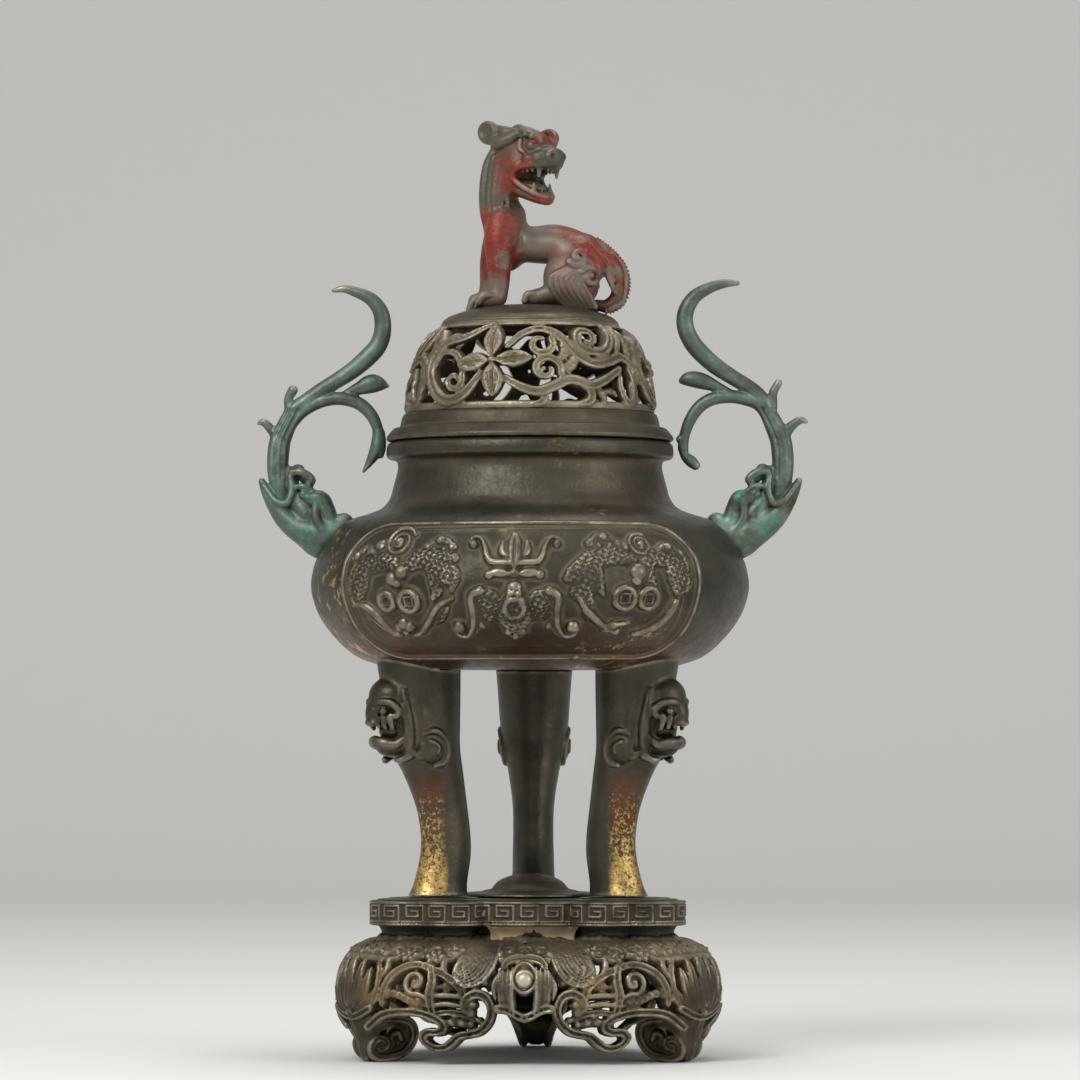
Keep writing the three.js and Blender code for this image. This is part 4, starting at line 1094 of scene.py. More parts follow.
def draw_shoulder(board):
    """Lappets with curls in them, rosettes between, petals running up to the waist"""
    board.band([(-45.5, 30.6), (45.5, 30.6)], 10.6, 0.2, crown=0.05, grain=0.4)
    for k in range(10):
        u = 2.3 + 4.6 * k
        board.bead(u, 26.5, 2.2, 0.45)
        board.ring(u, 26.6, 1.7, 0.7, 0.85)
        board.bead(u, 26.7, 0.75, 1.0)
        board.leaf([(u, 27.8), (u, 29.6), (u, 31.6)], 3.2, 0.75, rib=0.4)
        board.leaf([(u + 2.3, 27.0), (u + 2.3, 29.4), (u + 2.3, 32.2)], 1.9, 0.85, rib=0.3)
        board.leaf([(u + 1.2, 30.4), (u + 1.2, 32.4), (u + 1.2, 34.4)], 2.2, 0.6, rib=0.3)
        board.leaf([(u - 1.2, 30.4), (u - 1.2, 32.4), (u - 1.2, 34.4)], 2.2, 0.6, rib=0.3)
    for u, v in ((21.6, 25.4), (15.4, 25.8), (25.6, 27.4)):
        for i in range(6):
            angle = math.radians(60 * i)
            board.bead(u + 1.5 * math.cos(angle), v + 1.2 * math.sin(angle), 0.85, 1.15)
        board.bead(u, v, 0.75, 1.5)
    board.bar([(-1, 24.9), (4.6, 24.8), (11.4, 24.4)], 1.5, 1.0, crown=0.3, edge=0.3)


def draw_palmette(board):
    """A lotus fanning out over the foot, its petals parted by slots, standing on a double rim"""
    petal = {"rib": 0.35, "edge": 0.35, "crown": 0.35}
    board.leaf([(0, 12.6), (0, 18.5), (0, 25.4)], 3.9, 1.5, **petal)
    board.leaf([(1.0, 12.8), (3.2, 18.0), (3.9, 24.6)], 3.0, 1.35, **petal)
    board.leaf([(1.8, 12.8), (5.4, 16.8), (6.7, 22.6)], 2.7, 1.2, **petal)
    board.leaf([(2.4, 12.6), (7.0, 15.0), (8.6, 18.2)], 2.3, 1.1, **petal)
    board.bar([(7.9, 24.8), (9.4, 21.8), (9.5, 18.4), (8.2, 14.6)], 1.7, 1.2, rib=0.5, edge=0.4, crown=0.3)
    board.bar([(10.4, 24.6), (11.0, 22.6), (10.6, 20.6)], 1.5, 1.0, crown=0.3)
    board.band([(-7.4, 13.8), (-3.6, 12.2), (0, 11.6), (3.6, 12.2), (7.4, 13.8)], 2.0, 1.6,
               rib=0.6, edge=0.5, crown=0.3)
    board.bead(0, 12.6, 1.3, 2.0)


def draw_apron():
    """Half of a panel, from the middle of its foot to the middle of a bracket; the board mirrors it"""
    board = Relief((-46, -1), (46, 36), 0.11)
    board.mirrored = True
    line = {"rib": 0.65, "edge": 0.55, "crown": 0.3}
    bar = {"edge": 0.3, "crown": 0.4}
    draw_shoulder(board)
    draw_palmette(board)
    # Arch, the stem that falls from its crown and the spiral hung between them
    board.bar([(10.9, 14.6), (11.2, 17.6), (12.8, 20.6), (15.6, 22.6), (18.8, 23.2), (21.6, 22.4)], 2.0, 1.3,
              **line)
    board.band([(20.2, 23.0), (24.4, 21.4), (27.2, 19.8), (29.2, 17.8), (29.8, 15.6)], 1.8, 1.2, **line)
    board.bar([(21.6, 23.0), (22.5, 20.0), (22.2, 16.8), (22.8, 13.0)], 2.2, 1.5, **line)
    board.bar([(22.2, 15.6), (20.8, 16.6), *curl(18.7, 19.5, 2.5, 0.8, -70, -430)], 1.5, 1.35, **bar)
    board.bead(18.7, 19.5, 1.0, 1.5)
    # Leaf with a rough bud, and the flower where it meets the stem
    board.bar([(9.0, 15.6), (12.2, 17.2), (15.0, 16.9), (17.8, 15.6), (21.4, 14.6)], 1.9, 1.2, veins=0.35,
              **bar)
    board.bead(11.8, 17.2, 1.35, 1.5, grain=0.4)
    board.bead(19.4, 15.3, 1.6, 1.6, grain=0.5)
    board.leaf([(16.6, 13.6), (18.4, 15.0), (20.8, 17.2)], 1.8, 1.2, veins=0.4)
    # Rail: from the foot over the arch, hooked back around an eye, along the drop's foot, around its eye
    board.band([(5.2, 9.2), (7.6, 10.6), (10.4, 12.3), (13.2, 13.1), (16.8, 13.3), (20.2, 13.0), (22.8, 12.0),
                (24.5, 10.6), (24.3, 9.2), (22.6, 8.5), (20.6, 8.5), (19.2, 7.2), (19.6, 5.6), (21.4, 4.4),
                (23.6, 4.6), (25.6, 5.9), (27.6, 7.5), (30.0, 8.0), (32.6, 8.7), (34.9, 10.6), (36.1, 13.0),
                (35.9, 15.2), (34.5, 16.8), (32.4, 17.2), (30.6, 16.3), (30.1, 14.6), (31.2, 13.3)], 2.2, 1.5,
               **line)
    board.bead(31.9, 15.0, 1.0, 1.6)
    board.bead(31.2, 13.4, 1.1, 1.5)
    # Cross bars, and the beaded stalk under them
    board.bar([(22.4, 16.8), (25.6, 17.0), (29.4, 16.6)], 1.5, 1.2, **bar)
    board.bar([(22.4, 14.8), (25.8, 15.2), (30.2, 14.6)], 1.5, 1.25, **bar)
    board.bar([(22.6, 12.8), (26.0, 13.3), (29.6, 12.8), (32.6, 11.4)], 1.8, 1.3, **line)
    board.bar([(24.2, 11.0), (27.6, 10.9), (31.0, 10.0)], 2.2, 1.0, **bar)
    board.beads(((26.6, 11.0, 1.25), (28.9, 10.8, 1.2), (31.0, 10.4, 1.1), (27.6, 12.4, 0.9),
                 (33.0, 11.4, 0.9)), 1.6, grain=0.2)
    board.bar([(23.0, 18.4), (25.4, 18.9), (28.2, 18.2)], 1.2, 0.5, **bar)
    board.bead(25.5, 18.9, 1.25, 0.7)
    # Acanthus leaf beside the bracket: fine strands sweeping down from the shoulder
    outer = [(37.2, 28.4), (36.7, 23.4), (34.4, 19.9), (30.6, 18.6), (27.4, 19.4)]
    inner = [(29.4, 28.4), (29.2, 26.0), (28.8, 24.4), (28.0, 22.8), (26.8, 21.2)]
    for i in range(9):
        share = i / 8
        strand = [(a[0] + (b[0] - a[0]) * share, a[1] + (b[1] - a[1]) * share) for a, b in zip(outer, inner)]
        board.tail(strand, 1.5, 1.6 - 0.4 * share, crown=0.5, edge=0.1)
    board.beads([(u, v, 1.0) for u, v in ((36.2, 22.0), (34.6, 19.7), (32.2, 18.5), (29.6, 18.4))], 1.0)
    board.bar([(25.6, 21.2), (24.4, 22.8), (24.0, 25.6)], 1.7, 1.1, **bar)
    board.bar([(27.0, 21.8), (27.6, 23.6), (28.2, 25.8)], 1.6, 1.1, **bar)
    # Behind the bracket
    board.band([(43.6, 24.0), (43.6, 31.0)], 3.2, 0.2)
    board.bar([(35.6, 13.8), (38.0, 14.4), (40.2, 13.8)], 2.4, 0.6)
    board.bar([(37.4, 24.6), (40.4, 24.0), (43.6, 24.0)], 2.6, 0.6)
    return board


def draw_bracket():
    """A pearl in a ring over a window, between ribbed tassels, with a pointed double border below"""
    board = Relief((-11, 7), (11, 36), 0.11)
    board.mirrored = True
    line = {"rib": 0.65, "edge": 0.5, "crown": 0.3}
    board.leaf([(0, 23.6), (0, 25.2), (0, 27.0)], 4.6, 0.8, veins=0.35)
    board.leaf([(1.2, 24.2), (3.4, 25.4), (4.6, 27.6)], 3.2, 0.85, veins=0.4)
    board.leaf([(2.4, 24.0), (5.4, 24.4), (7.6, 26.6)], 3.0, 0.95, veins=0.4)
    board.bar([(5.8, 22.0), (4.4, 23.6), (2.2, 24.2), (0, 24.4)], 2.2, 1.4, **line)
    board.bead(0, 20.3, 2.6, 0.6)
    board.ring(0, 20.3, 2.9, 1.2, 1.5)
    board.band([(0, 22.6), (0, 25.0)], 2.6, 0.9)
    for k, (top, foot) in enumerate(((3.1, 2.6), (4.2, 3.6), (5.3, 4.7), (6.3, 5.7))):
        board.bar([(top, 22.2 - k * 0.2), (foot + 0.5, 18.0), (foot, 13.0 + k * 0.35)], 1.35, 1.7 - k * 0.15,
                  edge=0.3, crown=0.35)
    board.leaf([(6.4, 21.6), (7.6, 18.8), (7.0, 15.6)], 1.6, 1.0)
    board.band([(6.6, 14.2), (5.0, 14.1), (3.4, 13.5), (1.6, 12.5), (0, 12.0)], 2.3, 1.7, rib=0.7, edge=0.5,
               crown=0.3)
    board.bead(6.7, 14.3, 1.0, 1.5)
    return board


# Lean of a pearl's axis from upright in degrees, its distance out and its height
PEARL_TILT, PEARL_REACH, PEARL_LEVEL = 82, 35.0, 18.5
# Outward and upward stations of the scroll on a foot's side
FOOT_SCROLL = ((43.0, 12.8), (41.4, 10.8), (38.6, 9.9), (35.6, 9.7), (32.9, 8.5), (31.5, 6.2), (31.9, 3.6),
               (34.0, 1.7), (36.8, 1.1), (39.4, 1.1), (41.2, 2.1), (41.6, 4.0), (40.4, 5.4), (38.6, 5.0),
               (38.2, 3.6), (39.4, 3.0))


def foot_half(height):
    """Half the width of a foot, which spreads like a bell towards the apron"""
    return np.interp(height, (0, 1.5, 3, 6, 9, 14), (2.6, 3.1, 3.5, 4.7, 6.4, 8.2))


def make_foot(grain):
    """A cloud scroll: its stem falls from the wall, its eye rolls inwards, a toe curls out"""
    clay = Clay(*FOOT_BLOCK, grain)
    clay.slab([(41.8, 14.0, 1.8), (41.0, 10.8, 2.6), (39.4, 7.4, 3.4), (38.4, 5.2, 3.8)], foot_half)
    clay.slab([(36.0, 5.5, 4.2), (35.9, 5.3, 4.3)], lambda z: foot_half(z) - 0.7)
    clay.slab([(39.6, 3.5, 2.9), (39.5, 3.4, 3.0)], lambda z: foot_half(z) - 0.9)
    side = [(x, float(foot_half(z)) - 0.1, z) for x, z in FOOT_SCROLL]
    for half in clay.halves():
        half.ball((35.6, 4.8, 5.6), (2.7, 2.0, 2.7), soft=0.4, carve=True)
        half.limb([(38.4, 4.4, 8.0, 0.8), (39.4, 4.2, 6.8, 0.9)], soft=0.4, carve=True)
        half.limb([(*p, 1.0) for p in side], soft=0.25)
        half.limb([(x, y + 0.95, z, 0.36) for x, y, z in side], soft=0.2, carve=True)
        half.limb([(34.2, 3.4, 5.0, 0.7), (35.4, 3.7, 6.6, 0.8), (36.8, 3.6, 5.6, 0.7),
                   (36.2, 3.4, 4.2, 0.6)], soft=0.3)
        # Side leaves of the tongue
        half.limb([(42.8, 5.2, 12.6, 1.3), (42.0, 4.2, 9.0, 1.2), (41.0, 3.2, 5.2, 0.95),
                   (40.8, 2.4, 1.2, 0.7)], soft=0.3)
        half.limb([(43.8, 2.4, 12.8, 1.1), (42.9, 2.1, 8.8, 1.1), (41.6, 1.8, 4.6, 0.9),
                   (41.4, 1.2, 1.0, 0.6)], soft=0.25)
    clay.limb([(44.6, 0, 13.0, 1.5), (43.7, 0, 9.2, 1.4), (42.2, 0, 4.8, 1.1), (41.6, 0, 1.0, 0.7)], soft=0.3)
    clay.limb([(45.9, 0, 12.0, 0.4), (45.1, 0, 9.0, 0.4), (43.3, 0, 4.8, 0.35)], soft=0.2, carve=True)
    clay.keep_above(0.0)
    return clay.made("Foot")


def make_pearl(name, azimuth):
    """The pearl of a bracket in its low collar"""
    profile = [(0.01, 0.0), (2.5, 0.0), (2.5, 0.8), (2.2, 1.15), (1.75, 1.2), (1.72, 1.5)]
    dome = smooth_path([(1.75, 1.7), (1.66, 2.4), (1.3, 3.0), (0.7, 3.3), (0.01, 3.38)], 0.2)
    pearl = lathe(name, [*cornered(profile, 0.2, closed=False), *dome], 64)
    pearl.data.transform(Matrix.Rotation(math.radians(PEARL_TILT), 4, "Y"))
    return turned(moved(pearl, PEARL_REACH, 0, PEARL_LEVEL), azimuth)


class BURNER_OT_apron(bpy.types.Operator):
    """Pierces the three apron panels, their scroll feet and the brackets over their seams"""
    bl_idname = "burner.apron"
    bl_label = "Pierce the Apron"

    def execute(self, context):
        grain = context.scene.burner_castings.openwork_grain
        panel = pierced("Panel", draw_apron(), apron_place(0), *PANEL_BLOCK, grain * PANEL_COARSER,
                        outer=0.3, inner=0.9)
        foot = make_foot(grain)
        place = apron_place(math.pi / 3, BRACKET_OUTSET)
        bracket = pierced("Bracket", draw_bracket(), place, *BRACKET_BLOCK, grain, outer=0.4, inner=1.2)
        for side, azimuth in LEG_AZIMUTHS.items():
            for pattern, name, node in ((panel, "Apron_", "apron_"), (foot, "Foot_", "stand_foot_")):
                set_piece(copy_of(pattern, name + side, azimuth), "stand", "worn_bronze", node + side,
                          "openwork")
        for side, azimuth in BRACKET_AZIMUTHS.items():
            node = "stand_bracket_" + side
            set_piece(copy_of(bracket, "Bracket_" + side, azimuth), "stand", "worn_bronze", node, "openwork")
            set_piece(make_pearl("Pearl_" + side, azimuth), "stand", "worn_bronze", node, "pearl")
        for pattern in (panel, foot, bracket):
            bpy.data.objects.remove(pattern)
        return {"FINISHED"}


# The bowl and its two panels

BOWL_PROFILE = ((0.01, 0.3), (22.0, 0.3), (29.3, 0.4), (34.8, 1.6), (39.6, 3.6), (44.3, 7.9), (47.7, 12.9),
                (49.3, 18.3), (48.9, 22.6), (47.7, 25.9), (44.3, 31.1), (40.7, 33.9), (36.4, 35.3),
                (33.4, 36.6), (31.6, 38.8), (30.6, 42.3), (29.8, 45.4), (29.9, 46.9))
BOWL_MOUTH = ((30.4, 47.4), (31.9, 47.7), (32.35, 48.3), (32.4, 49.6), (32.2, 50.7), (31.6, 51.4),
              (27.2, 51.4), (27.0, 50.8), (27.0, 37.6))
BOWL_INSIDE = ((28.6, 35.4), (35.0, 33.0), (40.0, 31.0), (44.0, 27.0), (46.4, 21.0), (46.6, 16.0),
               (44.6, 11.0), (40.4, 6.4), (34.0, 3.6), (26.0, 3.1), (0.01, 3.1))
BOWL_SIDES = 320
BELLY_LEVEL = 18.3
# Radius at which the board's widths are true
PANEL_MEAN = 47.0
PANEL_TURN = math.radians(-2)
# Half width, half height, middle height and corner radius
PANEL_SHAPE = (44.0, 18.3, -2.4, 12.0)
PANEL_SPAN = (-45.2, 45.2), (-21.4, 16.6)
PANEL_THICKNESS = 0.7
# Reach and strength with which hollows are measured, and how much of the relief counts as rubbed, bare metal
# with a painted highlight
PANEL_HOLLOW_REACH, PANEL_HOLLOW_GAIN, PANEL_RUBBED_AND_LIT = 0.9, 2.1, 0.26
PANEL_SUNK = 0.35
STROKE_SWELL = 1.2
# How deep the bowl is sunk behind its panels, and how far inside their outline that begins
BED_DEPTH, BED_INSET = 1.0, 0.35


def bowl_rows():
    """The whole profile: up the outside, over the mouth and down the inside"""
    mouth = dense(cornered(BOWL_MOUTH, 0.4, closed=False), 1.4, closed=False)
    return [*smooth_path(BOWL_PROFILE, 0.7), *mouth, *smooth_path(BOWL_INSIDE, 1.5)]


def bowl_radius_at(levels):
    """Outside radius of the bowl at levels in millimetres above the ground"""
    rows = smooth_path(BOWL_PROFILE[1:], 0.3)
    return np.interp(levels - level("bowl", 0), rows[:, 1], rows[:, 0], left=0)


def bowl_arc():
    """Level, radius and distance up the bowl's outside from the belly"""
    rows = smooth_path(BOWL_PROFILE[2:], 0.1)
    arc = np.concatenate([[0], np.cumsum(np.hypot(*np.diff(rows, axis=0).T))])
    return rows[:, 1], rows[:, 0], arc - np.interp(BELLY_LEVEL, rows[:, 1], arc)


def inside_panel(u, v):
    """Distance inside the panel's rounded outline"""
    half, rise, middle, corner = PANEL_SHAPE
    x = np.abs(u) - (half - corner)
    y = np.abs(v - middle) - (rise - corner)
    edge = np.hypot(np.maximum(x, 0), np.maximum(y, 0)) + np.minimum(np.maximum(x, y), 0) - corner
    return -edge


def draw_bat_side(board, s):
    """One half of the bat at the panel's foot: its arm, webbed wing and curled claw"""
    board.leaf([(s * 1.4, -4.4), (s * 5.2, -3.8), (s * 8.6, -1.2)], 5.0, 1.35, grain=0.55, crown=0.35)
    board.leaf([(s * 1.6, -6.4), (s * 5.4, -5.8), (s * 8.8, -3.4)], 4.4, 1.1, grain=0.55, crown=0.35)
    board.tail([(s * 7.2, -1.2), (s * 9.0, -2.4), (s * 9.0, -6.0), (s * 9.6, -9.6), (s * 11.2, -11.9),
                (s * 13.2, -11.6), (s * 14.0, -10.0), (s * 12.9, -9.0)], 2.0, 1.3)
    board.bead(s * 12.9, -9.8, 1.35, 1.4)
    board.leaf([(s * 7.8, -5.6), (s * 8.2, -8.2), (s * 7.0, -10.4)], 2.0, 0.8, grain=0.3)


def draw_top_ornament(board):
    """A lotus bud between two out-curled leaves, over a bracket of cloud"""
    for s in (-1, 1):
        board.tail([(s * 0.6, 4.9), (s * 4.4, 5.0), (s * 5.8, 6.4), (s * 6.6, 9.0), (s * 7.8, 10.9),
                    (s * 9.4, 10.8), (s * 9.9, 9.5), (s * 9.0, 8.9)], 1.7, 1.15)
        board.bead(s * 9.1, 9.4, 0.85, 1.2)
        board.leaf([(s * 0.4, 5.2), (s * 2.4, 7.4), (s * 2.6, 10.4)], 2.0, 1.0)
        board.leaf([(s * 0.6, 2.2), (s * 3.2, 2.9), (s * 5.6, 2.3)], 2.3, 1.0)
        board.bead(s * 5.3, 2.3, 0.95, 1.1)
    board.leaf([(0, 3.4), (0, 8.2), (0, 12.4)], 3.4, 1.4, rib=0.35)
    board.bead(0, 2.6, 1.1, 1.2)


def draw_cloud(board, u, v, radius, turn=30):
    """A spiral about a bead"""
    board.band(curl(u, v, radius, 0.6, turn, 760, 36), 0.8, 0.85)
    board.bead(u, v, 0.85, 1.35)


def draw_ruyi(board, u, v, size=1.0):
    """A small cloud of three heads"""
    board.leaf([(u - 3.6 * size, v - 0.7), (u, v + 0.9 * size), (u + 3.6 * size, v - 0.7)], 2.8 * size, 0.9)
    board.bead(u, v + 0.9 * size, 0.95 * size, 1.4)
    for s in (-1, 1):
        board.bead(u + s * 2.9 * size, v - 0.6, 1.05 * size, 1.0)
        board.bead(u + s * 1.2 * size, v - 1.2, 0.8 * size, 0.9)


def draw_coin(board, u, v, radius):
    """A ring with a square eye"""
    board.ring(u, v, radius - 0.6, 1.35, 1.3)
    half = radius * 0.36
    corners = [(u - half, v - half), (u + half, v - half), (u + half, v + half), (u - half, v + half)]
    for a, b in zip(corners, corners[1:] + corners[:1]):
        board.band([a, b], 0.62, 1.05)


def draw_left_bat(board):
    """Outer wing, inner wing, head, two coins, and the ribbons that cross under them"""
    rough = {"grain": 0.6}
    board.bar([(-26.2, 3.6), (-29.6, 5.5), (-34.0, 5.0), (-38.0, 2.4), (-39.9, -0.6)], 4.6, 1.4, **rough)
    board.leaf([(-34.0, 4.2), (-37.2, 0.6), (-37.8, -3.4)], 5.2, 1.3, **rough)
    board.leaf([(-38.9, 1.0), (-39.8, -1.6), (-38.8, -4.4)], 2.4, 1.0, **rough)
    board.bar([(-24.9, 3.8), (-21.4, 5.8), (-17.0, 6.2), (-13.0, 6.0)], 4.4, 1.4, **rough)
    board.leaf([(-19.6, 5.2), (-16.0, 3.4), (-13.4, 0.4)], 5.8, 1.35, **rough)
    board.leaf([(-14.0, 5.8), (-12.6, 2.2), (-13.6, -1.8)], 2.4, 1.1, **rough)
    board.leaf([(-18.4, 3.0), (-16.8, -0.4), (-18.0, -3.4)], 3.0, 1.1, **rough)
    board.bead(-27.3, 1.7, 1.5, 1.6)
    board.bead(-25.0, 2.9, 1.35, 1.75)
    board.bead(-26.2, 0.6, 1.0, 1.2)
    draw_coin(board, -29.4, -3.2, 2.5)
    draw_coin(board, -23.6, -3.3, 2.8)
    board.bar([(-38.4, -3.6), (-35.6, -4.6), (-33.0, -7.2), (-31.0, -10.6), (-28.9, -11.8)], 1.7, 1.2)
    board.bar([(-36.6, -5.4), (-34.2, -8.2), (-32.6, -10.2)], 1.3, 0.9)
    board.bar([(-13.4, -2.8), (-16.8, -4.6), (-19.6, -8.0), (-22.6, -10.9), (-24.8, -11.6)], 1.7, 1.2)
    board.leaf([(-14.2, -4.4), (-17.0, -7.2), (-19.8, -9.6)], 2.4, 1.0, **rough)
    board.beads(((-28.2, -9.6, 1.2), (-26.8, -8.8, 1.3), (-25.4, -9.7, 1.2), (-26.8, -10.8, 0.9)), 1.25)


def draw_right_bat(board):
    """Inner wing, outer wing, head, two coins, and the ribbons under them"""
    rough = {"grain": 0.6}
    board.bar([(25.6, 5.8), (21.4, 6.8), (17.0, 5.8), (13.6, 3.4), (11.2, 1.6)], 4.4, 1.4, **rough)
    board.leaf([(18.4, 5.6), (15.4, 2.6), (12.2, 1.0)], 5.8, 1.35, **rough)
    board.leaf([(14.8, 3.0), (14.2, -1.0), (16.6, -4.2)], 4.8, 1.3, **rough)
    board.leaf([(18.2, 3.4), (17.8, 0.4), (19.0, -2.4)], 2.6, 1.0, **rough)
    board.bar([(28.4, 4.4), (31.4, 6.4), (35.4, 6.0), (40.2, 4.4)], 4.4, 1.4, **rough)
    board.leaf([(34.0, 5.2), (36.8, 2.4), (36.4, -1.6)], 6.0, 1.35, **rough)
    board.leaf([(39.8, 4.6), (39.4, 1.0), (36.8, -1.8)], 3.0, 1.1, **rough)
    board.leaf([(30.2, 4.6), (29.4, 1.8), (31.4, -0.6)], 2.8, 1.1, **rough)
    board.bead(26.6, 3.0, 1.75, 1.8)
    board.bead(26.2, 1.2, 1.2, 1.3)
    draw_coin(board, 23.7, -2.7, 2.9)
    draw_coin(board, 29.4, -2.7, 2.8)
    board.bar([(13.6, -2.6), (15.6, -5.6), (18.6, -8.4), (21.8, -10.4), (23.4, -11.2)], 1.8, 1.2)
    board.leaf([(14.4, -4.2), (16.8, -7.2), (18.6, -8.2)], 2.8, 1.0, **rough)
    board.tail([(21.2, -9.2), (23.4, -8.8), (26.4, -8.3)], 1.5, 1.2)
    board.bar([(37.0, -3.0), (35.8, -6.2), (33.6, -9.0), (30.6, -10.8), (28.2, -11.6)], 1.8, 1.15)
    board.beads(((22.0, -9.4, 1.2), (23.2, -10.6, 1.0), (20.6, -10.2, 1.0)), 1.2)


def draw_panel(lift):
    """The three bats, the bud above them and the clouds along the top"""
    board = Relief((-46, -23), (46, 18), 0.12)
    board.swell, board.lift = STROKE_SWELL, lift
    draw_left_bat(board)
    draw_right_bat(board)
    for s in (-1, 1):
        draw_bat_side(board, s)
    board.leaf([(0, -1.0), (0, -6.4), (0, -11.4)], 7.2, 1.7, grain=0.25, crown=0.4)
    board.bead(0, -0.6, 1.5, 1.5, grain=0.3)
    board.ring(0, -4.8, 2.0, 0.8, 0.3, on=1.0)
    board.beads(((-1.5, -10.6, 0.9), (1.5, -10.6, 0.9), (0, -11.7, 0.85), (-1.0, -1.6, 0.7),
                 (1.0, -1.6, 0.7)), 1.7)
    draw_top_ornament(board)
    draw_cloud(board, -27.4, 10.2, 3.8)
    board.beads(((-32.6, 9.2, 1.5), (-34.8, 7.8, 1.3), (-37.4, 8.2, 1.2), (-38.6, 6.8, 0.9)), 1.15)
    draw_ruyi(board, -16.8, 9.4)
    draw_ruyi(board, 19.6, 10.2, 1.1)
    draw_cloud(board, 28.4, 9.4, 2.9, 60)
    draw_ruyi(board, 35.4, 7.9, 0.95)
    board.bead(24.2, 8.8, 1.2, 1.0)
    return board


def panel_height(board, u, v):
    """How far the panel's surface stands from the bowl: sunk ground, two framing lines, the ornament"""
    depth = inside_panel(u, v)
    ground = -PANEL_SUNK * np.clip(depth / 1.4, 0, 1)
    outer = 0.55 * np.exp(-((depth - 0.55) / 0.42) ** 2)
    inner = 0.3 * np.exp(-((depth - np.where(v > 8, 2.1, 4.6)) / 0.4) ** 2) * np.clip((v + 17) / 6, 0, 1)
    height = ground + outer + inner + board.sample(board.height, u, v)
    return np.where(depth > 0, height, -0.8 * np.clip(-depth / 0.35, 0, 1))


def make_panel(name, board, centre, grain):
    """The ornamented skin of the bowl, a little thicker than its relief, sunk into the wall behind it"""
    levels, radii, arcs = bowl_arc()
    base = level("bowl", 0)
    across, up = PANEL_SPAN
    u, v = np.meshgrid(np.arange(*across, grain * 1.15), np.arange(*up, grain), indexing="ij")
    height = panel_height(board, u, v)
    z = np.interp(v, arcs, levels)
    r = np.interp(v, arcs, radii)
    rise = np.interp(v + 0.4, arcs, levels) - np.interp(v - 0.4, arcs, levels)
    spread = np.interp(v + 0.4, arcs, radii) - np.interp(v - 0.4, arcs, radii)
    size = np.hypot(rise, spread)
    angle = u / PANEL_MEAN + centre
    sheets = []
    for offset in (height, np.minimum(height, 0) - PANEL_THICKNESS):
        out = r + offset * rise / size
        rows = z - offset * spread / size + base
        sheets.append(np.stack([out * np.sin(angle), -out * np.cos(angle), rows], axis=2))
    mean = blurred(height, round(PANEL_HOLLOW_REACH / grain))
    # Raised relief is pushed towards the edge end of the scale, for bare metal and a painted highlight
    raised = np.clip(blurred(np.maximum(height, 0), 1), 0, 1.2)
    hollow = np.clip((mean - height) * PANEL_HOLLOW_GAIN - raised * PANEL_RUBBED_AND_LIT, -1, 1)
    hollow = np.concatenate([hollow.ravel(), np.zeros(u.size)])
    return sheet(name, *sheets, hollow)


def make_bowl():
    """The turned bowl, sunk where its panels lie over it"""
    bowl = lathe("Bowl", bowl_rows(), BOWL_SIDES)
    base = level("bowl", 0)
    levels, _, arcs = bowl_arc()
    points = np.empty(len(bowl.data.vertices) * 3)
    bowl.data.vertices.foreach_get("co", points)
    points = points.reshape(-1, 3) / MM
    radius = np.hypot(points[:, 0], points[:, 1])
    outside = radius > np.interp(points[:, 2], levels, bowl_radius_at(levels + base)) - 1
    v = np.interp(points[:, 2], levels, arcs)
    for centre in (PANEL_TURN, PANEL_TURN + math.pi):
        angle = (front_angle(points[:, 0], points[:, 1]) - centre + math.pi) % (2 * math.pi) - math.pi
        sunk = outside & (inside_panel(angle * PANEL_MEAN, v) > BED_INSET)
        points[sunk] *= (1 - BED_DEPTH / radius[sunk])[:, None] * [1, 1, 0] + [0, 0, 1]
    points[:, 2] += base
    bowl.data.vertices.foreach_set("co", (points * MM).ravel())
    return bowl


class BURNER_OT_bowl(bpy.types.Operator):
    """Turns the bowl and lays its front and back panels of bats, coins and clouds"""
    bl_idname = "burner.bowl"
    bl_label = "Cast the Bowl"

    def execute(self, context):
        sizes = context.scene.burner_castings
        set_piece(make_bowl(), "censer", "dark_bronze", "bowl")
        board = draw_panel(sizes.panel_relief)
        for name, centre in (("Front_panel", PANEL_TURN), ("Back_panel", PANEL_TURN + math.pi)):
            panel = make_panel(name, board, centre, sizes.panel_grain)
            set_piece(panel, "censer", "dark_bronze", "bowl", "panel")
        return {"FINISHED"}


# Legs with their lion masks, and the handles

# How far the head of a leg reaches into the bowl's wall
LEG_BITE = 1.2
# How much coarser the masks may be than the lion
MASK_COARSER = 1.15
LEG_BLOCK = (9, -12), (45, 12)
LEG_HEIGHT = 57
# Stations up a leg: outward, height, half its depth, half its width
LEG_COLUMN = ((23.3, 0.0, 6.9, 5.4), (22.6, 3.0, 6.2, 4.9), (21.4, 9.0, 5.9, 4.7), (21.4, 14.0, 5.8, 4.6),
              (22.4, 20.0, 6.0, 4.8), (24.4, 27.0, 6.9, 5.8), (26.6, 33.0, 8.1, 7.1), (27.4, 39.0, 8.8, 7.9),
              (27.6, 46.0, 9.0, 8.4), (28.0, 51.0, 9.4, 8.9), (28.2, 58.0, 10.0, 10.2))


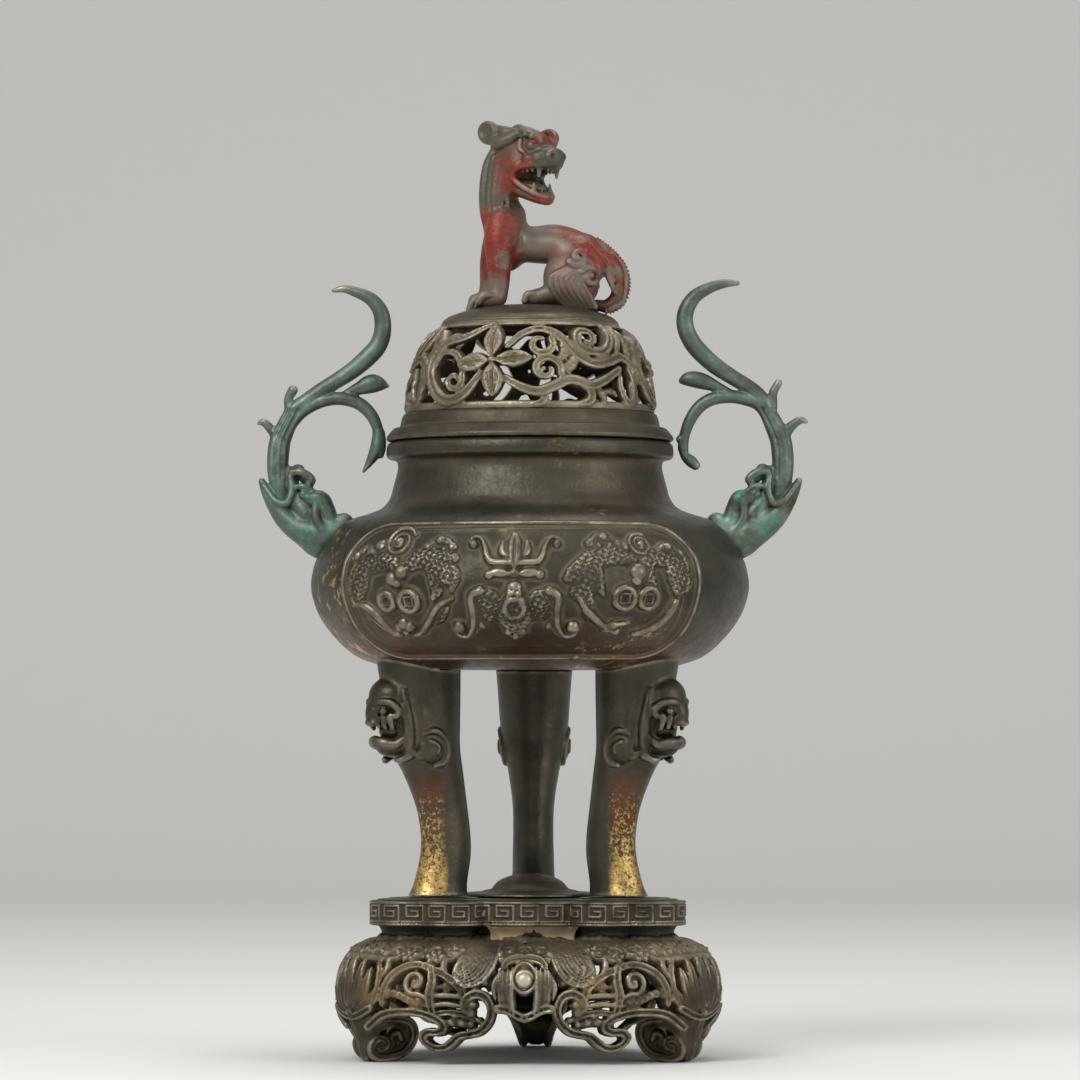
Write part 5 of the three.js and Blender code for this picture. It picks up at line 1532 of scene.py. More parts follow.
def make_leg(grain):
    """The leg at azimuth 0: a swelling column with a lion's mask on its knee"""
    foot = level("leg_left", 0)
    low, high = LEG_BLOCK
    clay = Clay((*low, foot - 1.5), (*high, foot + LEG_HEIGHT), grain)
    path = smooth_path(LEG_COLUMN, 0.3)
    z = clay.axes[2]
    centre, outward, sideways = (np.interp(z - foot, path[:, 1], path[:, i]) for i in (0, 2, 3))
    x, y = clay.plan()
    reach = np.sqrt(((x - centre) / outward) ** 2 + (y / sideways) ** 2)
    clay.field = (1 - reach) * sideways
    shape_mask(clay, foot)
    clay.keep_above(foot)
    clay.keep_outside(lambda z: bowl_radius_at(z) - LEG_BITE)
    return clay.made("Leg")


def shape_mask(clay, foot):
    """A lion's face looking outwards: domed brow, round eyes, open jaws on a ball, curled mane"""
    whole = Half(clay, 1, foot)
    whole.ball((34.4, 0, 44.4), (5.6, 5.3, 4.6), soft=0.8)
    whole.limb([(38.2, 0, 43.6, 1.9), (39.6, 0, 41.0, 1.5), (39.7, 0, 38.9, 1.2)], soft=0.5, flat=1.4)
    whole.ball((40.0, 0, 38.6), (1.1, 2.1, 0.9), soft=0.25)
    whole.limb([(33.6, 0, 33.4, 2.6), (36.0, 0, 33.0, 1.9), (37.6, 0, 33.4, 1.2)], soft=0.6, flat=1.5)
    whole.ball((36.8, 0, 36.6), (3.0, 5.2, 1.9), soft=0.4, carve=True)
    whole.ball((35.2, 0, 36.7), (2.3, 3.3, 1.75), soft=0.2)
    for half in clay.halves(foot):
        # Brow that ends in a curl, the eye and the tufts under it
        half.limb([(39.9, 0.5, 42.4, 0.8), (38.9, 2.6, 43.2, 1.0), (37.2, 4.5, 42.9, 1.0),
                   (35.9, 5.5, 41.4, 0.9), (36.3, 5.2, 40.0, 0.7), (37.3, 4.5, 40.3, 0.55)], soft=0.2)
        half.ball((38.3, 2.9, 41.2), (1.1, 1.1, 1.0), soft=0.15)
        for i in range(3):
            half.limb([(39.3 - i * 0.9, 1.4 + i * 1.4, 39.6, 0.8),
                       (38.9 - i * 0.95, 1.8 + i * 1.4, 37.7 - i * 0.25, 0.5)], soft=0.4)
        # Lower lip, chin lock and side whisker
        half.limb([(39.0, 0, 34.4, 1.3), (38.0, 2.2, 34.1, 1.3), (36.0, 3.8, 33.7, 1.2),
                   (34.6, 4.8, 34.8, 0.9)], soft=0.3)
        half.limb([(33.0, 4.9, 31.2, 1.0), (34.4, 3.9, 30.3, 0.9), (35.2, 2.8, 30.4, 0.6)], soft=0.4)
        # Cheek band, the mane behind it
        half.limb([(34.4, 5.2, 45.6, 0.9), (34.2, 5.7, 42.4, 1.2), (33.6, 5.9, 38.4, 1.35),
                   (33.2, 5.5, 34.6, 1.3), (32.9, 4.9, 31.4, 1.0)], soft=0.8)
        half.limb([(31.8, 6.3, 43.0, 0.8), (30.9, 6.7, 40.4, 1.1), (30.4, 6.6, 37.0, 1.0),
                   (30.4, 6.1, 34.0, 0.7)], soft=0.9)
        half.limb([(32.0, 5.9, 31.8, 0.75), (30.6, 6.1, 30.9, 0.8), (29.4, 5.9, 31.6, 0.6)], soft=0.2)
        # Shell-like curl at the mane's end
        half.ball((28.0, 6.5, 33.0), (3.3, 1.6, 3.6), soft=0.4)
        half.limb([(30.4, 7.0, 36.2, 0.8), (27.8, 7.5, 36.8, 0.95), (25.2, 7.1, 34.6, 0.95),
                   (24.6, 6.7, 31.6, 0.95), (25.6, 6.5, 29.6, 0.85), (27.4, 6.7, 29.0, 0.5)], soft=0.2)
        half.limb([(28.9, 8.0, 34.4, 0.5), (27.2, 8.0, 33.4, 0.5), (27.4, 8.0, 31.8, 0.45)], soft=0.15)


class BURNER_OT_legs(bpy.types.Operator):
    """Models the three legs with a lion's mask on each knee"""
    bl_idname = "burner.legs"
    bl_label = "Cast the Legs"

    def execute(self, context):
        leg = make_leg(context.scene.burner_castings.figure_grain * MASK_COARSER)
        for side, azimuth in LEG_AZIMUTHS.items():
            set_piece(copy_of(leg, "Leg_" + side, azimuth), "censer", "dark_bronze", "leg_" + side, "leg")
        bpy.data.objects.remove(leg)
        return {"FINISHED"}


# How far the root of a handle reaches into the bowl's wall
HANDLE_BITE = 1.0
HANDLE_BLOCK = (27, -6.5, 21), (65, 6.5, 91)
# Stations along each handle: outward, up from the bowl's foot, radius
HANDLE_CURLS = {
    "left": ((44.4, 85.9, 0.5), (42.2, 86.3, 0.85), (39.7, 85.7, 1.15), (36.0, 84.0, 1.5), (33.7, 80.9, 1.8),
             (33.3, 76.9, 1.95), (34.3, 73.6, 2.05), (36.4, 71.1, 2.1), (39.7, 68.2, 1.95), (43.4, 65.7, 1.8),
             (47.2, 63.4, 1.7), (50.5, 61.1, 1.65)),
    "right": ((46.8, 87.4, 0.6), (43.8, 87.3, 1.0), (40.4, 86.3, 1.3), (37.0, 84.2, 1.6), (35.1, 80.8, 1.85),
              (35.1, 77.4, 1.95), (36.6, 74.0, 2.0), (39.1, 71.1, 2.0), (42.1, 68.5, 1.9), (45.9, 66.0, 1.75),
              (49.7, 63.7, 1.65), (52.0, 61.6, 1.65))}
HANDLE_STEM = ((53.3, 58.8, 1.85), (55.2, 55.0, 2.2), (56.6, 51.4, 2.4), (57.0, 47.4, 2.4), (56.9, 43.6, 2.2),
               (56.2, 40.4, 1.7), (55.0, 37.8, 1.1))
HANDLE_BRANCHES = {
    "left": ((54.1, 55.7, 1.4), (51.3, 58.8, 1.5), (47.2, 60.9, 1.5), (43.0, 61.5, 1.5), (38.9, 60.5, 1.5),
             (36.0, 58.0, 1.4), (34.5, 54.9, 1.25), (33.9, 52.0, 1.2)),
    "right": ((54.3, 56.6, 1.4), (51.6, 60.0, 1.5), (48.4, 61.3, 1.5), (45.0, 61.8, 1.5), (41.2, 61.3, 1.5),
              (38.3, 59.6, 1.45), (36.2, 56.7, 1.35), (34.9, 53.3, 1.2), (34.5, 50.2, 1.15))}


def make_handle(name, side, grain):
    """A young dragon's head on the shoulder, its breath rising into a forked scroll"""
    clay = Clay(*HANDLE_BLOCK, grain)

    def limb(stations, **more):
        clay.limb([(x, 0, z, r) for x, z, r in stations], **more)

    limb([*HANDLE_CURLS[side], *HANDLE_STEM], soft=0.5, flat=0.95)
    limb(HANDLE_BRANCHES[side], soft=0.3, flat=1.0)
    if side == "left":
        limb([(34.2, 53.6, 1.35), (34.5, 50.6, 1.6), (35.7, 48.0, 1.15), (37.6, 45.0, 0.35)], soft=0.4)
        limb([(33.9, 53.4, 1.1), (33.5, 50.6, 1.0), (33.7, 48.7, 0.75)], soft=0.4)
        limb([(42.2, 62.4, 0.7), (38.6, 63.8, 1.5), (35.4, 64.9, 2.1), (32.0, 64.3, 0.35)], soft=0.3,
             flat=0.7)
        limb([(54.3, 58.6, 1.2), (54.6, 61.4, 1.0), (53.6, 63.4, 1.15)], soft=0.4)
        limb([(56.6, 52.2, 1.5), (58.4, 54.4, 1.1), (60.2, 56.2, 0.85), (61.2, 55.9, 0.5)], soft=0.4)
    else:
        limb([(34.5, 50.4, 1.15), (34.9, 48.5, 1.05), (36.2, 47.3, 1.35), (37.3, 46.3, 1.1)], soft=0.3)
        clay.ball((33.6, 0, 52.2), (0.7, 1.0, 0.9), soft=0.3)
        limb([(45.4, 62.2, 1.1), (42.4, 63.9, 1.2), (38.8, 65.3, 1.85), (36.0, 65.8, 1.7), (34.3, 65.4, 0.8)],
             soft=0.3, flat=0.9)
        limb([(54.6, 59.4, 1.2), (54.8, 62.6, 1.0), (56.0, 64.8, 0.9)], soft=0.4)
        limb([(57.0, 53.0, 1.5), (59.0, 55.2, 1.1), (61.0, 56.5, 0.85), (62.2, 56.1, 0.5)], soft=0.4)
    # Grooves along the stem
    for half in clay.halves():
        for shift in (-1.15, 0.1, 1.3):
            half.limb([(x + shift, r * 0.95 + 0.25 - abs(shift) * 0.35, z, 0.55)
                       for x, z, r in HANDLE_STEM[:5]], soft=0.25, carve=True)
    # Open jaws: the lower one outside, the upper one inside, teeth between
    limb([(60.6, 42.8, 0.8), (59.2, 40.0, 1.4), (57.3, 37.1, 2.0), (55.0, 34.4, 2.6), (51.8, 32.2, 3.3),
          (48.2, 31.0, 3.9), (43.0, 30.6, 4.4)], soft=0.7, flat=1.1)
    limb([(54.2, 45.2, 1.1), (53.6, 42.0, 1.5), (52.6, 38.8, 2.2), (50.6, 35.6, 3.0)], soft=0.6, flat=1.1)
    clay.ball((52.4, 0, 45.4), (1.5, 2.2, 1.3), soft=0.4)
    clay.ball((50.4, 0, 43.4), (2.1, 2.4, 1.4), soft=0.35, turn=20)
    for half in clay.halves():
        half.limb([(53.6, 1.7, 44.8, 0.9), (51.6, 2.2, 44.8, 1.0), (49.6, 2.1, 43.4, 1.0),
                   (49.9, 2.2, 41.9, 0.8)], soft=0.35)
        half.ball((50.9, 2.6, 39.8), (1.15, 1.0, 1.15), soft=0.2)
        half.limb([(52.8, 2.2, 41.4, 0.7), (51.0, 2.7, 41.6, 0.75), (49.2, 2.5, 40.6, 0.7)], soft=0.25)
        half.limb([(49.6, 2.6, 38.8, 1.3), (47.4, 2.6, 38.8, 1.9), (46.0, 2.2, 36.6, 1.8),
                   (45.2, 2.0, 33.8, 1.9)], soft=0.5)
        half.limb([(46.4, 3.0, 39.0, 0.9), (48.0, 3.4, 37.2, 1.0), (48.0, 3.7, 34.4, 1.1),
                   (46.6, 3.9, 32.0, 1.0)], soft=0.5)
        half.limb([(54.0, 1.9, 43.8, 0.75), (53.6, 2.2, 40.8, 0.9), (54.8, 2.3, 37.8, 0.95),
                   (57.4, 1.9, 38.4, 0.85), (60.0, 1.0, 41.8, 0.6)], soft=0.4)
    clay.ball((55.9, 0, 41.4), (1.0, 7, 2.3), soft=0.3, turn=-30, carve=True)
    limb([*HANDLE_STEM[2:6], (55.4, 38.6, 1.3)], soft=0.2, flat=0.8)
    # Root that spreads over the shoulder, cut to the bowl
    limb([(48.6, 28.4, 2.4), (45.6, 30.4, 3.6), (42.0, 33.6, 2.0)], soft=1.2, flat=1.3)
    limb([(53.0, 32.4, 1.9), (50.4, 29.8, 2.2), (47.6, 27.2, 1.9)], soft=0.8, flat=1.5)
    base = level("bowl", 0)
    clay.keep_outside(lambda z: bowl_radius_at(z + base) - HANDLE_BITE)
    return turned(moved(clay.made(name), z=base), 0 if side == "right" else 180)


class BURNER_OT_handles(bpy.types.Operator):
    """Models the two dragon handles"""
    bl_idname = "burner.handles"
    bl_label = "Cast the Handles"

    def execute(self, context):
        for side in ("left", "right"):
            handle = make_handle("Handle_" + side, side, context.scene.burner_castings.figure_grain)
            set_piece(handle, "censer", "verdigris", "handle_" + side)
        return {"FINISHED"}


# The lid: ring, pierced gallery, cap

# Radius at which the board's widths are true
GALLERY_MEAN = 26.0
GALLERY_PERIOD = GALLERY_MEAN * 2 * math.pi / 3
GALLERY_PROFILE = ((28.1, 0.0), (27.6, 4.0), (26.9, 7.8), (25.9, 10.8), (24.4, 14.1), (22.3, 16.9),
                   (19.9, 19.2))
GALLERY_START = -20.0
GALLERY_TURN = math.radians(-16.7)
FLOWER_HEIGHT = 10.6
# Room round the gallery in the block of space in which it is made
GALLERY_MARGIN = 1.4
# How far the collar hangs below the ring's seat
COLLAR_DEPTH = 5


def gallery_curve():
    """Radius, height and distance up the gallery's outside"""
    rows = smooth_path(GALLERY_PROFILE, 0.1)
    rise = np.concatenate([[0], np.cumsum(np.hypot(*np.diff(rows, axis=0).T))])
    return rows[:, 0], rows[:, 1], rise


def draw_flower(board, v):
    """Four pointed petals with ribs, and an eye"""
    for tip, width in (((-0.5, 9.6), 4.9), ((9.0, 0.5), 4.5), ((0.9, -8.6), 4.9), ((-8.2, -0.9), 4.7)):
        petal = [(tip[0] * t, v + tip[1] * t) for t in (0.08, 0.5, 1.0)]
        board.leaf(petal, width, 1.8, crown=0.35, rib=0.4, edge=0.45)
        for side in (-1, 1):
            across = (-tip[1] * side * 0.055, tip[0] * side * 0.055)
            vein = [(tip[0] * t + across[0] * w, v + tip[1] * t + across[1] * w)
                    for t, w in ((0.2, 1.0), (0.5, 2.2), (0.86, 0.6))]
            board.band(vein, 0.42, 0.5, on=-0.9)
    board.bead(0, v, 1.0, 2.4)


def draw_gallery(rise):
    """One third of the gallery between its two rings, which the board repeats"""
    start, end = GALLERY_START, GALLERY_START + GALLERY_PERIOD
    board = Relief((start, -0.6), (end, rise + 0.6), 0.1, GALLERY_PERIOD)
    double = {"rib": 0.6, "edge": 0.5, "crown": 0.3}
    round_bar = {"crown": 0.4, "edge": 0.3}
    board.band([(start, 0.3), (end, 0.3)], 1.9, 0.5, edge=0.7)
    board.band([(start, rise - 0.4), (end, rise - 0.4)], 2.0, 0.4, edge=0.7)
    # Vine waves on the right of the flower
    board.bar([(3.2, 13.8), (6.4, 17.2), (10.3, 18.8), (14.3, 17.9), (17.1, 15.0), (19.9, 11.5), (23.5, 9.8),
               (27.5, 10.5), (31.6, 11.6), (35.0, 9.6), (37.2, 5.8)], 2.8, 1.2, **double)
    board.bar([(2.8, 6.6), (6.0, 4.5), (9.9, 3.2), (13.5, 4.4), (16.6, 5.9), (19.2, 5.6), (22.0, 4.8),
               (25.6, 6.1), (30.3, 8.9)], 2.6, 1.15, **double)
    # Spirals inside the waves
    board.bar([(15.6, 17.0), *curl(11.0, 14.6, 3.1, 1.3, 30, -330)], 2.0, 1.25, **double)
    board.bar([(16.2, 5.6), *curl(12.0, 8.3, 3.4, 1.0, -20, 400)], 2.0, 1.3, **double)
    board.bead(11.4, 8.4, 0.7, 1.5)
    board.leaf([(14.6, 10.0), (16.6, 12.4), (15.4, 14.6)], 2.6, 1.0, veins=0.3)
    board.leaf([(14.8, 7.4), (18.0, 9.6), (18.6, 12.0)], 2.8, 1.0, veins=0.3)
    # Tendrils that stand on the lower ring
    board.bar([(8.6, 3.4), (11.2, 2.6), (11.4, 1.0), (9.4, 0.4)], 1.9, 1.0, **double)
    board.bar([(18.8, 5.4), (21.6, 3.6), (21.6, 1.4), (19.4, 0.6)], 2.1, 1.0, **double)
    board.leaf([(22.8, 4.4), (24.8, 2.6), (25.2, 0.6)], 2.2, 0.9, veins=0.3)
    board.leaf([(24.0, 3.2), (27.2, 3.4), (28.8, 2.2)], 1.8, 0.9, veins=0.3)
    board.bar([(30.2, 8.6), (30.0, 4.2), (32.0, 1.2), (34.4, 2.4), (34.6, 6.0), (33.6, 9.6)], 1.8, 1.0,
              **double)
    # Ribbed scroll that hangs from the upper ring
    board.bar([(30.6, 20.4), (30.2, 16.6), (27.0, 13.0), (22.8, 12.9),
               *curl(22.9, 16.2, 3.1, 1.0, 230, -360)], 2.6, 1.25, **double)
    board.bar([(33.6, 20.4), (33.2, 16.4), (30.6, 12.6)], 2.0, 1.0, **round_bar)
    board.leaf([(34.4, 10.6), (36.2, 14.0), (34.8, 17.6)], 2.8, 1.0, veins=0.3)
    # Scroll on the left of the flower, with its inner curl and its leaves
    board.bar([(-1.6, 20.6), (-7.5, 17.0), (-13.6, 15.2), (-16.6, 11.4), (-16.1, 7.0), (-13.4, 3.1),
               (-9.9, 1.5), (-6.3, 2.6), (-4.0, 5.0), (-2.2, 7.6)], 3.0, 1.25, **double)
    board.bar([(-15.4, 9.0), (-13.4, 12.6), (-9.8, 12.3), (-7.0, 9.2), *curl(-8.8, 5.9, 2.3, 0.9, 30, -380)],
              1.8, 1.2, **double)
    board.leaf([(-15.0, 14.4), (-17.6, 16.6), (-18.6, 19.4)], 2.6, 1.0, veins=0.3)
    board.leaf([(-16.8, 7.4), (-19.6, 5.2), (-20.6, 1.2)], 2.6, 1.0, veins=0.3)
    board.bead(-12.4, 16.8, 1.3, 1.3)
    draw_flower(board, FLOWER_HEIGHT)
    return board


def make_gallery(grain):
    """The pierced wall between the ring and the cap"""
    radii, heights, rises = gallery_curve()
    base = level("lid_gallery", 0)
    board = draw_gallery(rises[-1])

    def place(radius, angle, height):
        above = min(max(height - base, 0.0), heights[-1])
        wall = np.interp(above, heights, radii) - 0.9
        near = max(min(above, heights[-1] - 0.3), 0.3)
        lean = (np.interp(near + 0.3, heights, radii) - np.interp(near - 0.3, heights, radii)) / 0.6
        rise = np.interp(above, heights, rises) + (height - base - above)
        offset = (radius - wall) / math.hypot(1, lean)
        return offset, (angle - GALLERY_TURN) * GALLERY_MEAN, np.full_like(angle, rise)

    side = GALLERY_PROFILE[0][0] + GALLERY_MARGIN
    return pierced("Gallery", board, place, (-side, -side, base - 0.5),
                   (side, side, level("lid_cap", 0) + 0.6), grain, outer=0.4, inner=0.7)


def make_lid_ring():
    """The stepped ring, whose collar hangs in the bowl's mouth"""
    low = level("lid_ring", 0)
    seat = low + COLLAR_DEPTH
    profile = [(24.8, low), (26.1, low), (26.7, low + 1), (26.7, seat - 0.25), (31.4, seat - 0.1),
               (32.3, seat + 0.1), (32.4, seat + 0.8), (31.9, seat + 1.5), (31.1, seat + 2.5),
               (30.7, seat + 2.9), (29.8, seat + 3.05), (29.3, seat + 3.3), (29.05, seat + 4.6),
               (28.7, seat + 5.7), (28.3, seat + 6.2), (27.7, seat + 6.3), (24.8, seat + 6.3)]
    return lathe("Lid_ring", dense(cornered(profile, 0.35), 1.2), 240, closed=True)


def make_cap():
    """The domed plate under the lion"""
    low, high = level("lid_cap", 0), level("lid_cap", 1)
    outside = smooth_path([(19.75, low + 0.55), (18.7, low + 1.5), (15.6, low + 2.7), (11.8, low + 3.7),
                           (6.5, low + 4.3), (0.01, high)], 0.5)
    inside = [(max(r - 1.4, 0.01), z - 1.8) for r, z in outside[::-1] if z - 1.8 > low + 0.1]
    lip = [(16.6, low - 0.1), (19.5, low - 0.1), (20.0, low + 0.2), (19.75, low + 0.6)]
    profile = [*cornered(lip, 0.2, closed=False), *outside[1:], *inside]
    return lathe("Lid_cap", profile, 200, closed=True)


class BURNER_OT_lid(bpy.types.Operator):
    """Turns the lid's ring and cap and pierces its gallery with vines and flowers"""
    bl_idname = "burner.lid"
    bl_label = "Cast the Lid"

    def execute(self, context):
        set_piece(make_lid_ring(), "lid", "worn_bronze", "lid_ring")
        gallery = make_gallery(context.scene.burner_castings.gallery_grain)
        set_piece(gallery, "lid", "worn_bronze", "lid_gallery", "openwork")
        set_piece(make_cap(), "lid", "worn_bronze", "lid_cap")
        return {"FINISHED"}


# The lion: body to the left, head turned right, mouth open

LION_BLOCK = (-21, -12, -3.2), (25.5, 11, 45)
HEAD_BLOCK = (-12.5, -10, 20.5), (13.5, 10, 43.5)
HEAD_TURN = 40
HEAD_PIVOT = (-4.5, 0)
# Middle and radii of a haunch
HAUNCH = (9.4, 4.4, 5.6, 6.3, 3.7, 6.7)


def make_lion(grain):
    """The lion in one block of clay, its turned head made apart, its foot cut to the cap's dome"""
    clay = Clay(*LION_BLOCK, grain)
    shape_lion_body(clay)
    shape_lion_legs(clay)
    shape_lion_tail(clay)
    head = Clay(*HEAD_BLOCK, grain)
    shape_lion_head(head)
    clay.graft(head, HEAD_PIVOT, HEAD_TURN)
    base = level("lid_cap", 1)
    dome = smooth_path([(0, 0), (6.5, -0.35), (11.8, -1.0), (15.6, -1.9), (18.7, -3.1), (22, -5)], 0.3)
    floor = np.interp(np.hypot(*clay.plan()), dome[:, 0], dome[:, 1]) - 0.25
    clay.field = np.minimum(clay.field, clay.axes[2][None, None, :] - floor)
    return moved(clay.made("Lion"), z=base)


def shape_lion_body(clay):
    """Neck and trunk, breast, mane and ridge"""
    clay.limb([(-5.4, 0, 12, 3.8), (-6.2, 0, 16.5, 4.2), (-6.6, 0, 21, 4.0), (-6.6, 0, 26, 4.1),
               (-5.2, 0, 31, 4.6)], flat=1.15)
    clay.limb([(-4.0, 0, 14.2, 4.3), (1.5, 0, 13.4, 4.0), (6.2, 0, 13.2, 4.4), (10.4, 0, 11.2, 5.1),
               (14.0, 0, 9.0, 4.7)], soft=1.4, flat=1.18)
    # Breast, and mane strands down the back and sides of the neck
    clay.limb([(-4.2, 0, 20, 3.3), (-4.4, 0, 15, 3.6), (-5, 0, 11, 3.2)], soft=1.6, flat=1.2)
    for y in (-2.4, -0.8, 0.8, 2.4):
        clay.limb([(-7.6, y, 35.4, 0.9), (-9.4, y, 31.5, 1.15), (-10.2, y * 1.15, 26, 1.2),
                   (-10.1, y * 1.15, 20.5, 1.1), (-9.2, y * 1.2, 15, 0.6)], soft=0.45)
    for half in clay.halves():
        for back, low, wide in ((-0.6, 22.0, 4.9), (0.6, 20.0, 4.9), (1.8, 17.5, 4.6), (3.0, 15.0, 3.9)):
            half.limb([(-5.0 - back, wide - 0.2, 33.0, 0.8), (-5.9 - back * 0.9, wide, 28.0, 1.0),
                       (-6.0 - back, wide + 0.2, (28.0 + low) / 2, 0.95), (-5.4 - back, wide, low, 0.35)],
                      soft=0.15)
    # Ridge of the back
    clay.limb([(0.6, 0, 17.0, 0.7), (5.5, 0, 17.3, 0.9), (10, 0, 16.2, 0.9), (14.4, 0, 13.6, 0.9)], soft=0.6)


def shape_lion_legs(clay):
    """Straight forelegs with clawed paws, folded hind legs covered in hair"""
    for side, back in ((-1, 0.0), (1, 2.4)):
        y = side * 4.1
        clay.ball((-5.8, side * 4.3, 17.4), (3.9, 2.5, 4.6), soft=0.6, turn=8)
        clay.limb([(-1.0, side * 5.4, 20.0, 0.5), (-1.6, side * 5.2, 15.4, 0.7),
                   (-2.9, side * 4.8, 10.4, 0.7)], soft=0.4, carve=True)
        clay.limb([(-6.2, y * 0.9, 18.5, 3.3), (-6.8 - back * 0.3, y, 14, 3.4),
                   (-6.8 - back * 0.8, y, 9.4, 2.8), (-6.8 - back, y, 4.8, 2.35), (-7.2 - back, y, 2, 2.3)],
                  soft=0.9)
        clay.limb([(-7.4 - back, y, 1.2, 2.2), (-9.8 - back, y, 0.9, 2.0)], soft=0.5, flat=1.2)
        drop = back * 0.5
        for toe in (-2.0, -0.7, 0.7, 2.0):
            clay.limb([(-8.4 - back, y + toe, 1.7, 0.8),
                       (-10.2 - back, y + toe * 1.05, 1.6 - drop * 0.4, 1.1),
                       (-11.4 - back, y + toe * 1.1, 0.3 - drop, 0.85)], soft=0.15)
            clay.limb([(-11.3 - back, y + toe * 1.1, 0.2 - drop, 0.45),
                       (-12.3 - back, y + toe * 1.1, -1.0 - drop, 0.25)], soft=0.1)
    for half in clay.halves():
        # Haunch and the block of a hind paw before it
        half.ball(HAUNCH[:3], HAUNCH[3:], soft=1.0)
        half.limb([(6.4, 5.0, 3.0, 2.4), (3.2, 4.9, 1.9, 1.9), (0.9, 4.8, 1.4, 1.7)], soft=0.5, flat=1.1)
        for toe in (-1.3, 0, 1.3):
            y = half.side * 4.8 + toe
            clay.limb([(1.4, y, 2.0, 0.75), (-0.3, y, 1.9, 0.9), (-1.1, y, 0.5, 0.7)], soft=0.2)
        # Flame-like hair: two curls on the haunch, from which locks sweep forward and down
        for middle, size, start, sweep in (((11.0, 10.2), 2.3, -150, 420), ((13.8, 5.6), 2.4, 150, -430)):
            path = curl(*middle, size, 0.4, start, sweep, 12)
            half.limb([(x, on_haunch(x, z) + 0.6, z, 0.82) for x, z in path], soft=0.15)
        for i in range(7):
            lock = ((10.6 + 0.2 * i, 8.4 - 0.45 * i), (5.3 + 1.1 * i, 5.9 - 0.3 * i), (5.5 + 1.25 * i, 2.6),
                    (8.8 + 1.0 * i, -0.9))
            half.limb([(x, on_haunch(x, z) + 0.3, z, 0.7) for x, z in lock], soft=0.1)
        for i in range(3):
            lock = ((12.8 + 0.3 * i, 11.2 - 0.9 * i), (15.0, 9.6 - i), (15.6, 7.4 - 0.6 * i))
            half.limb([(x, on_haunch(x, z) + 0.7, z, 0.75) for x, z in lock], soft=0.15)


def on_haunch(x, z):
    """How far from the middle plane the haunch's surface lies"""
    share = 1 - ((x - HAUNCH[0]) / HAUNCH[3]) ** 2 - ((z - HAUNCH[2]) / HAUNCH[5]) ** 2
    return HAUNCH[1] + HAUNCH[4] * math.sqrt(max(share, 0.06))


def shape_lion_tail(clay):
    """A broad tail that curls down behind the haunch"""
    spine = [(12.4, 0, 11.9, 4.1), (16.6, 0, 9.8, 3.2), (19.4, 0, 7.2, 2.5), (20.3, 0, 4.2, 2.0),
             (19.6, 0, 1.3, 1.8), (17.3, 0, -0.3, 1.5), (15.2, 0, 0.0, 1.2)]
    clay.limb(spine, soft=0.8, flat=1.3)
    for x, z, radius in ((16.7, 5.3, 1.15), (16.8, 3.8, 1.3), (16.5, 2.6, 1.0)):
        clay.limb([(x, -12, z, radius), (x, 12, z, radius)], soft=0.3, carve=True)
    # Rolled border, the hair inside it, and a fine fringe along the outside
    path = smooth_path(spine, 0.1)
    border = [(x + r * 0.7, 2.6, z + r * 0.45, 0.55) for x, _, z, r in spine[1:4]]
    for half in clay.halves():
        half.limb([*border, (20.9, 2.0, 0.5, 0.5), (18.0, 1.6, -1.3, 0.5)], soft=0.2)
        for i in range(4):
            half.limb([(14.0 + i * 0.8, 4.9 - i * 0.3, 13.2 - i * 1.5, 0.4),
                       (16.4 + i * 0.45, 4.4 - i * 0.35, 10.2 - i * 1.5, 0.5),
                       (18.9 + i * 0.1, 3.2 - i * 0.3, 6.6 - i * 1.4, 0.4)], soft=0.15)
    for i in range(12, len(path) - 16, 6):
        here, ahead = path[i], path[i + 3]
        way = ahead[[0, 2]] - here[[0, 2]]
        out = np.array([-way[1], way[0]]) / np.hypot(*way)
        root = here[[0, 2]] + out * (here[3] - 0.3)
        tip = here[[0, 2]] + out * (here[3] + 0.35) + way * 1.1
        for y in (-1.5, 0, 1.5):
            clay.limb([(root[0], y, root[1], 0.42), (tip[0], y * 1.05, tip[1], 0.2)], soft=0.15)


